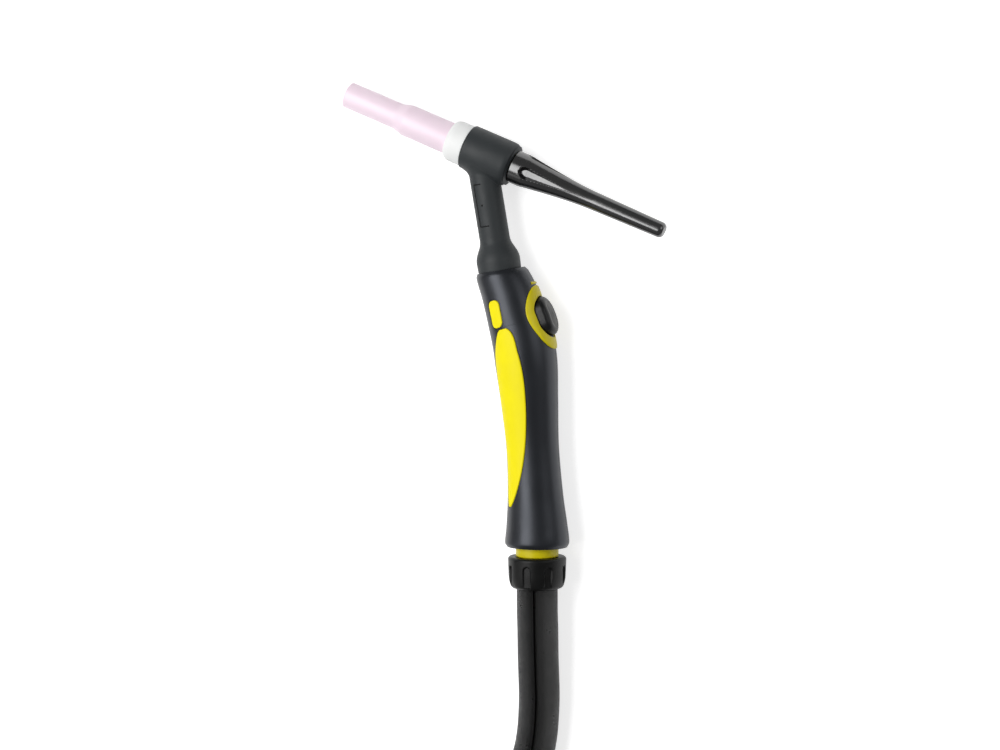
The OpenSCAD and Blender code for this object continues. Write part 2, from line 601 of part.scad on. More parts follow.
// Outline with round ends
module stadium(long, wide) polygon([for (i = [0:35]) let (a = 10 * i + 5)
  [wide / 2 * cos(a), wide / 2 * sin(a) + (a < 180 ? 1 : -1) * (long - wide) / 2]]);
well_in = -12; // the button's well, cut through the skin from this height to the next
well_out = 8;
module button_slab(from, to, grow) on_button(from) linear_extrude(to - from)
  stadium(button_len + 2 * grow, button_w + 2 * grow);
module handle_shell_upper() {
  color("#26282b") difference() {
    union() {
      shell_skin(1);
      at_screws() translate([0, 0, 0.02]) cylinder(r = boss_r, h = $reach, $fn = 32);
    }
    button_slab(well_in, well_out, button_gap);
    at_screws() translate([0, 0, -1]) cylinder(r = screw_r, h = $reach - 0.5, $fn = 32);
  }
}
module handle_shell_lower() {
  color("#26282b") difference() {
    union() {
      shell_skin(-1);
      at_screws() translate([0, 0, -$reach]) cylinder(r = boss_r, h = $reach - 0.02, $fn = 32);
    }
    button_slab(well_in, well_out, button_gap);
    at_screws() translate([0, 0, -$reach - 1]) cylinder(r = screw_r + fit, h = $reach + 2, $fn = 32);
    at_screws() translate([0, 0, -$reach - handle_swell_w / 4])
      cylinder(r = boss_r - 0.3, h = handle_swell_w / 4 + 2, $fn = 32);
  }
}
module handle_screws() {
  color("silver") at_screws() translate([0, 0, -$reach]) difference() {
    union() {
      cylinder(r = boss_r - 0.5, h = 2, $fn = 32);
      cylinder(r = screw_r, h = 2 * $reach - 1.5 - screw_short, $fn = 32);
    }
    translate([0, 0, -1]) cylinder(r = 1.2, h = 2.2, $fn = 6);
  }
}
leaf_rows = concat([leaf_from + 0.6 + inlay_gap, leaf_from + 2.2, leaf_from + 5],
  steps(leaf_from + 9, leaf_from + leaf_len - 7, 18),
  [leaf_from + leaf_len - 3, leaf_from + leaf_len - 0.8 - inlay_gap]);
module side_grip(side) color("#f2e600") pad(leaf_rows, side, leaf_proud - leaf_thick, leaf_proud, 0);
module side_grip_upper() side_grip(1);
module side_grip_lower() side_grip(-1);
badge_half_rows = [0, 0.5, 1.4, badge_r + 0.3];
badge_pad_rows = concat([for (b = badge_half_rows) badge_from + b],
  [for (i = [3:-1:0]) badge_from + badge_len - badge_half_rows[i]]);
module badge(side) color("#f2e600") pad(badge_pad_rows, side, 0.1 - badge_thick, 0.1, 0);
module badge_upper() badge(1);
module badge_lower() badge(-1);

// ---- Trigger ----
bezel_down = -0.4; // from the button's middle to the bezel's, along the handle
bezel_cos = cos(lean(button_drop));
module switch_bezel() {
  n = 40;
  rings = 4;
  lift = 0.1;
  round = button_w / 2 + button_gap + 0.1; // the hole's round ends and half its straight sides
  straight = (button_len - button_w) / 2;
  // The hole follows the button, the rim follows the oval
  function cell(k, i, up) = let (a = 360 * i / n, t = k / (rings - 1),
      hole = button_drop + (straight * sign(cos(a)) + round * cos(a)) * bezel_cos,
      rim = button_drop + bezel_down + bezel_len / 2 * cos(a) * bezel_cos,
      d = mix(hole, rim, t), z = mix(round, bezel_w / 2, t) * sin(a))
    skin(d, asin(clamp(z / half_depth(d), -1, 1)), up);
  points = [for (k = [0:rings - 1], i = [0:n - 1]) cell(k, i, bezel_thick + lift)];
  under = [for (k = [0:rings - 1], i = [0:n - 1]) cell(k, i, lift)];
  o = rings * n;
  wrap = [for (k = [0:rings - 2], i = [0:n - 1]) let (a = k * n + i, b = k * n + (i + 1) % n)
    each [[a, b, a + n], [b, b + n, a + n]]];
  below = [for (f = wrap) [f[0] + o, f[2] + o, f[1] + o]];
  inner_wall = [for (i = [0:n - 1]) let (a = i, b = (i + 1) % n)
    each [[a, a + o, b], [b, a + o, b + o]]];
  outer_wall = [for (i = [0:n - 1]) let (a = (rings - 1) * n + i, b = (rings - 1) * n + (i + 1) % n)
    each [[a, b, a + o], [b, b + o, a + o]]];
  color("#d8cc10") polyhedron(points = concat(points, under),
    faces = concat(wrap, below, inner_wall, outer_wall));
}
mark_at = 10.1; // place of the small bar below the joint
module bezel_mark() {
  ds = [mark_at, mark_at + 0.8, mark_at + 1.6];
  as = [for (k = [-3:3]) k * 5];
  n = len(as);
  points = [for (up = [0.65, 0.1], d = ds, a = as) skin(d, a, up)];
  o = 3 * n;
  ring = concat([for (j = [0:n - 1]) j], [2 * n - 1, 3 * n - 1],
    [for (j = [n - 2:-1:0]) 2 * n + j], [n, 0]);
  color("#d8cc10") polyhedron(points = points, faces = concat(grid(3, n, 0, true),
    grid(3, n, o, false), strip(ring, [for (i = ring) i + o], true)));
}
skirt = -8.8; // where the button's skirt meets its flange, below the skin
stem_end = skirt - 0.9;
stem_r = 1.8;
switch_top = stem_end - 0.1 - button_travel;
cavity_top = -2;
cavity_r = 7.4;
module trigger_button() {
  color("#141414") difference() {
    intersection() {
      union() {
        button_slab(stem_end, button_proud, 0);
        button_slab(stem_end, skirt, button_gap + 0.8);
      }
      on_button(button_proud - button_dome) sphere(r = button_dome);
    }
    on_button(stem_end - 1) tube(cavity_r, stem_r, cavity_top - stem_end + 1);
  }
}
module button_spring() {
  low = switch_top + spring_wire / 2 + 0.02;
  high = cavity_top - spring_wire / 2 - 0.02;
  n = 10 * spring_coils;
  axis = [cos(button_tilt), sin(button_tilt), 0];
  down = [sin(button_tilt), -cos(button_tilt), 0];
  path = [for (i = [0:n]) let (a = 36 * i, flat = ease((i - 8) / (n - 16)))
    skin(button_drop, 0) + mix(low, high, flat) * axis + 5 * (cos(a) * down + sin(a) * [0, 0, 1])];
  color("silver") sweep(path, spring_wire / 2, 6, axis);
}
module microswitch() {
  wide = half_depth(button_drop) - shell_wall - 1.5;
  color("#222222") on_button(0) difference() {
    union() {
      translate([-6, -switch_len / 2, switch_top - switch_thick]) cube([12, switch_len, switch_thick]);
      translate([-wide, -5, switch_top - 1.1]) cube([2 * wide, 10, 1.1]);
    }
    translate([0, 0, switch_top - switch_thick + 0.4]) cylinder(r = 1.5 + fit, h = switch_thick, $fn = 32);
  }
}
module switch_plunger()
  color("firebrick") on_button(stem_end - 0.05 - (button_travel + 0.9))
    cylinder(r = 1.5, h = button_travel + 0.9, $fn = 32);
lead_r = lead_d / 2;
lead_route = [[37, -140], [38.4, -168], [40.6, -200], [41.2, -222]]; // from the crossing of the axes
module switch_lead() {
  end = switch_len / 2 + 0.02;
  middle = switch_top - switch_thick / 2;
  path = concat([button_point(middle, end, 0)], bend(concat([button_point(middle, end + 3, 0)],
    [for (p = lead_route) head_at + [p[0], p[1], 0]]), 4),
    [head_at + [tail_x + 6.3, tail_y - 1, 0], head_at + [tail_x + 6.3, sheath_y, 0]]);
  color("#202020") sweep(path, lead_r, 8);
}
cable_route = [[18.4, -108], [23.4, -126], [28.6, -148], [32.4, -174], [34.4, -200], [35, -220]];
module inner_cable() {
  path = concat([neck_point(coupling_from + coupling_len - 4), neck_point(coupling_from + coupling_len + 4)],
    [for (p = bend(cable_route, 3)) head_at + [p[0], p[1], 0]],
    [head_at + [tail_x, tail_y - 1, 0], head_at + [tail_x, sheath_y, 0]]);
  color("#181818") sweep(path, inner_cable_d / 2, 10);
}

// ---- Tail ----
module swivel_ring() {
  r = swivel_d / 2;
  in_handle = handle_len - flange_to;
  behind = handle_len - flange_from;
  bore = 8.4;
  screw = nut_y - sheath_y - 0.3;
  color("#d8cc10") on_tail(0) turned([[bore, -behind], [flange_d / 2, -behind], [flange_d / 2, -in_handle],
    [r, -in_handle], [r, swivel_len - 0.3], [r - 1, swivel_len - 0.3], [r - 1, swivel_len + screw],
    [bore, swivel_len + screw]]);
}
module cable_nut() {
  r = nut_d / 2;
  inner = swivel_d / 2 - 1;
  seat_len = nut_y - sheath_y;
  color("#151515") on_tail(swivel_len) difference() {
    turned([[inner, 0], [r - 1, 0], [r, 1], [r, nut_len - 5], [r - 0.8, nut_len - 2],
      [r - 2.6, nut_len - 0.4], [r - 3.6, nut_len], [sheath_d / 2 + loose, nut_len],
      [sheath_d / 2 + loose, seat_len], [inner, seat_len]]);
    for (i = [0:nut_slots - 1]) rotate([0, 0, 360 * (i + 0.5) / nut_slots])
      translate([r - slot_deep, -slot_w / 2, 5]) cube([5, slot_w, nut_len]);
  }
}

// ---- Cable: a free stretch, a put-away coil, and the end that lies on the coil ----
pitch = sheath_d + turn_gap;
sheath_r = sheath_d / 2;
coil_out_r = coil_in_r + pitch * layer_turns;
coil_from = 125; // bearing at which the cable joins the coil
coil_sweep = 360 * layer_turns;
join_at = [-21.72, -301.44]; // where the free stretch becomes the coil
function along_turn(b) = [-sin(b), cos(b), 0];
coil_at = join_at + sheath_d * [-sin(coil_from), cos(coil_from)]
  - coil_out_r * [cos(coil_from), sin(coil_from)]; // middle of the coil
function coil_radius(a) = a < coil_sweep ? coil_out_r - pitch * a / 360 :
  coil_in_r + pitch * (a - coil_sweep) / 360;
function coil_height(a) = sheath_r + pitch * ease((a - coil_sweep + 90) / 180);
function coil_point(a) = let (r = coil_radius(a), b = coil_from + a)
  [coil_at[0] + r * cos(b), coil_at[1] + r * sin(b), coil_height(a)];
coil_turns = [for (a = [0:15:2 * coil_sweep]) coil_point(a)];
coil_start = coil_point(0) - sheath_d * along_turn(coil_from);
coil_end = coil_point(2 * coil_sweep) + sheath_d * along_turn(coil_from + 2 * coil_sweep);
coil_path = concat([coil_start], coil_turns, [coil_end]);
coil_gap = min([for (i = [0:len(coil_turns) - 13], j = [i + 12:len(coil_turns) - 1])
  norm(coil_turns[i] - coil_turns[j])]) - sheath_d;
function run(p) = len(p) < 2 ? 0 : sum([for (i = [1:len(p) - 1]) norm(p[i] - p[i - 1])]);
function sum(v, i = 0) = i >= len(v) ? 0 : v[i] + sum(v, i + 1);
// Free stretch: sideways, along, height of the sheath's underside above the floor
sheath_route = [[21.3, -176, 4.6], [21.3, -198, 3], [21.2, -219, 1.4], [18.8, -241, 0.3],
  [13, -261, 0], [4.1, -280, 0]];
square = 3; // straight stretch at the end of a swept piece, so that its face meets its neighbour's
touch = 0.1; // gap between two swept pieces that continue each other
sheath_path = concat([head_at + [tail_x, sheath_y, 0]], bend(concat([head_at + [tail_x, sheath_y - 14, 0]],
  [for (p = sheath_route) p + [0, 0, sheath_r]], [coil_start - square * along_turn(coil_from)]), 3),
  [coil_start - touch * along_turn(coil_from)]);
// Cable end: bearing past the coil's end, distance outside the coil, rise as a share of the pitch
tail_route = [[18.5, 4.6, 0.1], [28, 4.9, 0.3], [37.6, 2.8, 0.57], [47.2, -1.8, 0.83],
  [57, -8.7, 0.99], [67.1, -17.9, 1.03], [79.1, -30.6, 1.03], [92.8, -46.4, 1.03]];
function tail_at(p) = let (b = coil_from + 2 * coil_sweep + p[0], r = coil_out_r + p[1])
  [coil_at[0] + r * cos(b), coil_at[1] + r * sin(b), sheath_r + pitch * (1 + p[2])];
boot_turn = coil_from + 2 * coil_sweep + 215; // bearing of the connectors
boot_heading = [cos(boot_turn), sin(boot_turn), 0];
boot_at = tail_at(tail_route[len(tail_route) - 1]);
coil_heading = along_turn(coil_from + 2 * coil_sweep);
tail_path = concat([coil_end + touch * coil_heading], bend(concat([coil_end + square * coil_heading],
  [for (i = [0:len(tail_route) - 2]) tail_at(tail_route[i])], [boot_at - square * boot_heading]), 3),
  [boot_at - touch * boot_heading]);
tail_gap = min([for (p = tail_path, q = coil_turns) if (norm(p - coil_end) > sheath_d) norm(p - q)])
  - sheath_d;
echo(coil_gap = coil_gap, tail_gap = tail_gap, coil_length = run(coil_path), sheath_length = run(sheath_path),
  tail_length = run(tail_path), head_at = head_at, coil_start = coil_start, coil_end = coil_end,
  coil_at = coil_at, boot_at = boot_at);

module cable_sheath() color("#1b1b1b") sweep(sheath_path, sheath_r, 12);
module cable_coil() color("#1b1b1b") sweep(coil_path, sheath_r, 6, turn = 30);
module cable_tail() color("#1b1b1b") sweep(tail_path, sheath_r, 12);

// ---- Connectors, side by side on top of the coil ----
power_side = -5; // sideways places of the three leads where they leave the boot
gas_side = 5.4;
control_side = 1;
control_up = 7.8;
power_lead_r = 5;
coil_top = coil_height(2 * coil_sweep) + sheath_r;
boot_right = [sin(boot_turn), -cos(boot_turn), 0];
function boot_point(s, side = 0, z = 0) = boot_at + s * boot_heading + side * boot_right + [0, 0, z];
module on_boot(s, side = 0, z = 0) translate(boot_point(s, side, z)) rotate([0, 0, boot_turn])
  rotate([0, 90, 0]) children();
// Middle height, above the boot's, of a round thing of radius r lying on the coil
function lying(r) = coil_top + 0.2 + r - boot_at[2];
gas_nut_side = power_side + power_plug_d / 2 + gas_nut_d / 2 + 1;
plug_side = gas_nut_side + gas_nut_d / 2 + control_ring_d / 2 + 1;
ends_at = boot_len + tail_len;
module lead(side, z, to_side, to_z, to_s, r, up) {
  mid = tail_len / 3;
  route = [boot_point(boot_len + square, side, z),
    boot_point(boot_len + mid, mix(side, to_side, 0.2), mix(z, to_z, 0.2) + up),
    boot_point(to_s - mid, mix(side, to_side, 0.8), mix(z, to_z, 0.8) + up),
    boot_point(to_s - square, to_side, to_z)];
  sweep(concat([boot_point(boot_len + touch, side, z)], bend(route, 4),
    [boot_point(to_s - touch, to_side, to_z)]), r, 10);
}
module splitter_boot()
  color("#1a1a1a") on_boot(0) turned([[0, 0], [sheath_r + 0.6, 0], [sheath_r + 0.6, 16],
    [sheath_r, 18], [sheath_r, boot_len - 3], [sheath_r - 1.2, boot_len], [0, boot_len]]);
module power_lead()
  color("#202020") lead(power_side, 0, power_side, lying(power_plug_d / 2), ends_at, power_lead_r, 0);
sleeve_cup = 12; // how deep the pin's shoulder sits in the sleeve
module power_plug_sleeve() {
  r = power_plug_d / 2;
  color("#1a1a1a") on_boot(ends_at, power_side, lying(r)) turned([[0, 0], [power_lead_r + 2, 0],
    [power_lead_r + 3, 10], [r - 1, 20], [r, 24], [r, power_plug_len],
    [bayonet_d / 2 + 4, power_plug_len], [bayonet_d / 2 + 4, power_plug_len - sleeve_cup],
    [0, power_plug_len - sleeve_cup]]);
}
module power_plug_pin() {
  r = bayonet_d / 2;
  shoulder = sleeve_cup - 2;
  color("goldenrod") on_boot(ends_at + power_plug_len - sleeve_cup, power_side, lying(power_plug_d / 2)) {
    turned([[0, 0], [r + 3.6, 0], [r + 3.6, shoulder], [r, shoulder], [r, shoulder + bayonet_len - 1],
      [r - 1, shoulder + bayonet_len], [0, shoulder + bayonet_len]]);
    translate([r - 1, -2, shoulder + bayonet_len - 6]) cube([2.6, 4, 4]);
  }
}
nipple_at = ends_at - 12;
nipple_r = 5.4;
relief_to = 9.4; // the thread starts in front of the nipple's cone
hole_r = 2.5;
module gas_hose()
  color("#202020") lead(gas_side, 0, gas_nut_side, lying(gas_nut_d / 2), nipple_at, gas_hose_d / 2, 0);
module gas_nipple()
  color("goldenrod") on_boot(nipple_at, gas_nut_side, lying(gas_nut_d / 2)) difference() {
    turned([[0, 0], [nipple_r, 0], [nipple_r, 12], [gas_nut_bore_d / 2 - loose, 12],
      [gas_nut_bore_d / 2 - loose, 14], [4, 17], [0, 17]]);
    translate([0, 0, 2]) cylinder(r = hole_r, h = 20, $fn = 32);
  }
module gas_nut()
  color("goldenrod") on_boot(nipple_at + 8, gas_nut_side, lying(gas_nut_d / 2)) difference() {
    cylinder(r = gas_nut_d / 2, h = gas_nut_len, $fn = 6);
    translate([0, 0, -1]) cylinder(r = nipple_r + loose, h = gas_nut_len);
    translate([0, 0, 3.6]) cylinder(r = gas_nut_bore_d / 2 + 0.5, h = relief_to - 3.6);
    translate([0, 0, relief_to - 0.01]) cylinder(r = gas_nut_bore_d / 2, h = gas_nut_len);
  }
module control_lead()
  color("#202020") lead(control_side, control_up, plug_side, lying(control_ring_d / 2), ends_at - 8,
    control_d / 2, 2);
neck_r = control_plug_d / 2 - 1.2;
ring_from = control_plug_len - 16;
ring_len = 13;
module control_plug() {
  r = control_plug_d / 2;
  color("#1d1d1d") on_boot(ends_at - 8, plug_side, lying(control_ring_d / 2)) difference() {
    turned([[0, 0], [control_d / 2 + 1.4, 0], [control_d / 2 + 2, 8], [r, 11], [r, ring_from],
      [neck_r, ring_from], [neck_r, ring_from + ring_len + 0.6], [r - 0.4, ring_from + ring_len + 0.6],
      [r - 0.4, control_plug_len], [0, control_plug_len]]);
    for (a = [0:72:288]) rotate([0, 0, a]) translate([3.6, 0, control_plug_len - 5])
      cylinder(r = 0.8, h = 6, $fn = 24);
  }
}
module control_plug_ring()
  color("#1d1d1d") on_boot(ends_at - 8 + ring_from + 0.3, plug_side, lying(control_ring_d / 2))
    tube(control_ring_d / 2, neck_r + loose, ring_len);

gas_nozzle();
cup_insulator();
collet_body();
collet();
tungsten_electrode();
head_core();
head_jacket();
back_cap();
back_cap_insert();
back_cap_o_ring();
neck_tube();
cable_coupling();
inner_cable();
handle_shell_upper();
handle_shell_lower();
handle_screws();
side_grip_upper();
side_grip_lower();
badge_upper();
badge_lower();
switch_bezel();
bezel_mark();
trigger_button();
button_spring();
microswitch();
switch_plunger();
switch_lead();
swivel_ring();
cable_nut();
cable_sheath();
cable_coil();
cable_tail();
splitter_boot();
power_lead();
power_plug_sleeve();
power_plug_pin();
gas_hose();
gas_nipple();
gas_nut();
control_lead();
control_plug();
control_plug_ring();
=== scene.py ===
import math
import bmesh
import bpy
import numpy as np
from mathutils import Matrix


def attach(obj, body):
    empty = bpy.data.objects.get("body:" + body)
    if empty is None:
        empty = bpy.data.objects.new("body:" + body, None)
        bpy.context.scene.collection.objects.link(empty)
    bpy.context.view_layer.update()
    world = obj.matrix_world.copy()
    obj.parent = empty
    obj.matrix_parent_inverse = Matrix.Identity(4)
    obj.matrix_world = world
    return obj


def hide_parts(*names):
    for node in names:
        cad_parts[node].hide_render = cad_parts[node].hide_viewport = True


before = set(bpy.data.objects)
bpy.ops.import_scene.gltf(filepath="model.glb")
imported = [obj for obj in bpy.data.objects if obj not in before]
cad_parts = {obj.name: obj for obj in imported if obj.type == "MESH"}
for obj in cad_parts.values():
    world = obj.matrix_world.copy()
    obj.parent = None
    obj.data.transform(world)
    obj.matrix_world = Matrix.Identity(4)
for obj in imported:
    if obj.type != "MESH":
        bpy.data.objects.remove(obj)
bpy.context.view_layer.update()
mm = 0.001
print("frame loaded")

# Lengths in millimetres that place everything, as the CAD has them
torch = {
    "nozzleLength": 69, "ringLength": 11.6, "headFront": 8.2, "headRear": 21.7, "headTilt": 22,
    "neckLean": 9.8, "neckLength": 70.2, "capLength": 98, "handleLength": 162, "tailShift": 23,
    "swivelLength": 5.8, "nutLength": 18.8, "nutDiameter": 34.4, "buttonTilt": 21.5, "buttonDrop": 31,
}
up = np.array([0, 0, 1.0])


def flat(degrees):  # level unit vector at a bearing
    return np.array([math.cos(math.radians(degrees)), math.sin(math.radians(degrees)), 0])


headAxis = flat(-torch["headTilt"])
neckAxis = flat(torch["neckLean"] - 90)
tailAxis = flat(-90)
buttonAxis = flat(torch["buttonTilt"])
buttonDown = flat(torch["buttonTilt"] - 90)
tipAt = -torch["headFront"] - torch["ringLength"] - torch["nozzleLength"]
capFrom = torch["headRear"] + 0.4
jointShift = torch["neckLength"] * neckAxis
# the middle of the torch's own box lies over the origin
lowX = tipAt * headAxis[0] + 7.8 * headAxis[1]
highX = (capFrom + torch["capLength"]) * headAxis[0] - 4.6 * headAxis[1]
highY = tipAt * headAxis[1] + 7.8 * headAxis[0]
lowY = jointShift[1] - torch["handleLength"] - torch["swivelLength"] - torch["nutLength"]
headAt = np.array([-(lowX + highX) / 2, -(lowY + highY) / 2, torch["nutDiameter"] / 2])
jointAt = headAt + jointShift
tailAt = jointAt + [torch["tailShift"], -torch["handleLength"], 0]


# meshes from grids
def makePiece(name, points, faces, sharp=38):
    mesh = bpy.data.meshes.new(name)
    mesh.from_pydata((np.asarray(points).reshape(-1, 3) * mm).tolist(), [], faces)
    shell = bmesh.new()
    shell.from_mesh(mesh)
    bmesh.ops.recalc_face_normals(shell, faces=shell.faces)
    shell.to_mesh(mesh)
    shell.free()
    mesh.shade_smooth()
    mesh.set_sharp_from_angle(angle=math.radians(sharp))
    piece = bpy.data.objects.new(name, mesh)
    bpy.context.scene.collection.objects.link(piece)
    return piece


# quads of a rows by cols grid, wrapped round in one or both directions
def gridQuads(rows, cols, wrapRows=False, wrapCols=True, start=0):
    i = np.arange(rows if wrapRows else rows - 1)[:, None]
    j = np.arange(cols if wrapCols else cols - 1)[None, :]
    nextRow, nextCol = (i + 1) % rows, (j + 1) % cols
    corners = [i * cols + j, i * cols + nextCol, nextRow * cols + nextCol, nextRow * cols + j]
    return (np.stack(np.broadcast_arrays(*corners), -1).reshape(-1, 4) + start).tolist()


# rings of points joined into a closed solid: as a loop of rings, or with a flat end on each side
def ringFaces(rings, loop, start=0):
    rows, cols = rings.shape[:2]
    faces = gridQuads(rows, cols, wrapRows=loop, start=start)
    if not loop:
        faces.append([start + k for k in range(cols)])
        faces.append([start + (rows - 1) * cols + k for k in range(cols)])
    return faces


def ringSolid(name, rings, loop=False, sharp=38):
    return makePiece(name, rings, ringFaces(rings, loop), sharp)


# several ring solids in one piece
def ringGroup(name, groups, loop=False, sharp=38):
    points, faces = [], []
    for rings in groups:
        faces += ringFaces(rings, loop, sum(len(p) for p in points))
        points.append(rings.reshape(-1, 3))
    return makePiece(name, np.concatenate(points), faces, sharp)


# two sheets of the same grid, joined all round their edge
def slabSolid(name, top, under, sharp=38):
    rows, cols = top.shape[:2]
    index = np.arange(rows * cols).reshape(rows, cols)
    rim = np.concatenate([index[0], index[1:, -1], index[-1, -2::-1], index[-2:0:-1, 0]])
    after = np.roll(rim, -1)
    below = rows * cols
    faces = gridQuads(rows, cols, wrapCols=False) + gridQuads(rows, cols, wrapCols=False, start=below)
    faces += np.stack([rim, after, after + below, rim + below], -1).tolist()
    return makePiece(name, np.concatenate([top.reshape(-1, 3), under.reshape(-1, 3)]), faces, sharp)


# outline through [radius, height, rounding] corners: each corner becomes a short quadratic curve
def rounded(corners, closed=True, steps=5):
    corner = np.array(corners, float)
    place = corner[:, :2]
    before, after = np.roll(place, 1, 0) - place, np.roll(place, -1, 0) - place
    if not closed:
        before[0], after[-1] = after[0], before[-1]
    reach = corner[:, 2:3]
    enter = place + before / np.linalg.norm(before, axis=1, keepdims=True) * reach
    leave = place + after / np.linalg.norm(after, axis=1, keepdims=True) * reach
    t = np.linspace(0, 1, steps)[None, :, None]
    curve = (1 - t) ** 2 * enter[:, None] + 2 * t * (1 - t) * place[:, None] + t ** 2 * leave[:, None]
    line = curve.reshape(-1, 2)
    if not closed:
        line = np.concatenate([place[:1], line[steps:-steps], place[-1:]])
    keep = np.linalg.norm(line - np.roll(line, 1, 0), axis=1) > 1e-6
    return line[keep]


# an outline of radius and height turned about an axis: origin + height * axis + radius * direction
def turned(radius, height, origin, axis, side=up, sides=96):
    turn = np.linspace(0, 2 * np.pi, sides, endpoint=False)[None, :, None]
    radius, height = np.atleast_2d(radius), np.atleast_2d(height)
    radius = radius.T if radius.shape[0] == 1 else radius
    height = height.T if height.shape[0] == 1 else height
    across = np.cross(axis, side)
    direction = np.cos(turn) * side + np.sin(turn) * across
    return origin + height[..., None] * axis + radius[..., None] * direction


def turnedPiece(name, corners, origin, axis, sides=96):
    line = rounded(corners)
    return ringSolid(name, turned(line[:, 0], line[:, 1], origin, axis, sides=sides), loop=True)


# smooth curve through points: Catmull-Rom cubics, some steps to each stretch
def smoothThrough(points, steps):
    p = np.asarray(points, float)
    a, b = np.concatenate([p[:1], p[:-2]]), p[:-1]
    c, d = p[1:], np.concatenate([p[2:], p[-1:]])
    t = (np.arange(steps) / steps)[None, :, None]
    a, b, c, d = (q[:, None] for q in (a, b, c, d))
    curve = 0.5 * (2 * b + (c - a) * t + (2 * a - 5 * b + 4 * c - d) * t ** 2
                   + (3 * b - a - 3 * c + d) * t ** 3)
    return np.concatenate([curve.reshape(-1, 3), p[-1:]])


# the same curve with its points a set distance apart
def evenly(path, gap):
    walked = np.concatenate([[0], np.cumsum(np.linalg.norm(np.diff(path, axis=0), axis=1))])
    stops = np.linspace(0, walked[-1], int(walked[-1] / gap) + 2)
    return np.stack([np.interp(stops, walked, path[:, k]) for k in range(3)], -1)


# rings across a path: point + radius * (cos * side + sin * rise), the radius by path step and by turn
def tubeRings(path, radius, sides, upright=up, ends=0.0, turn=None):
    heading = np.gradient(path, axis=0)
    heading /= np.linalg.norm(heading, axis=1, keepdims=True)
    side = np.cross(heading, upright)
    side /= np.linalg.norm(side, axis=1, keepdims=True)
    rise = np.cross(side, heading)
    turn = np.linspace(0, 2 * np.pi, sides, endpoint=False) if turn is None else turn
    turn = turn[None, :, None]
    radius = np.broadcast_to(radius, (len(path), turn.shape[1]))[..., None]
    rings = path[:, None] + radius * (np.cos(turn) * side[:, None] + np.sin(turn) * rise[:, None])
    if ends:  # a drawn-in ring closes each end with a rounded edge
        first = path[0] + (rings[0] - path[0]) * ends - heading[0] * 0.4
        last = path[-1] + (rings[-1] - path[-1]) * ends + heading[-1] * 0.4
        rings = np.concatenate([first[None], rings, last[None]])
    return rings


def ease(x):
    c = np.clip(x, 0, 1)
    return c * c * (3 - 2 * c)


def mix(a, b, t):
    return a + (b - a) * t


# what the modifiers make of a piece becomes its mesh
def settle(piece):
    graph = bpy.context.evaluated_depsgraph_get()
    mesh = bpy.data.meshes.new_from_object(piece.evaluated_get(graph))
    piece.modifiers.clear()
    piece.data = mesh
    return piece


def cutAway(piece, cutter):
    cut = piece.modifiers.new("cut", "BOOLEAN")
    cut.operation, cut.object, cut.solver = "DIFFERENCE", cutter, "EXACT"
    settle(piece)
    bpy.data.objects.remove(cutter)
    piece.data.shade_smooth()
    piece.data.set_sharp_from_angle(angle=math.radians(38))
    return piece


# materials
def colour(text):  # sRGB hex to linear
    parts = np.array([int(text[k:k + 2], 16) for k in (1, 3, 5)]) / 255
    linear = np.where(parts <= 0.04045, parts / 12.92, ((parts + 0.055) / 1.055) ** 2.4)
    return (*linear.tolist(), 1.0)


# adds a shader node with its settings; inputs hold values or (node, output) links
def add(tree, kind, inputs=None, **settings):
    made = tree.nodes.new(kind)
    for key, value in settings.items():
        setattr(made, key, value)
    for key, value in (inputs or {}).items():
        if isinstance(value, tuple) and len(value) == 2 and hasattr(value[0], "outputs"):
            tree.links.new(value[0].outputs[value[1]], made.inputs[key])
        else:
            made.inputs[key].default_value = value
    return made


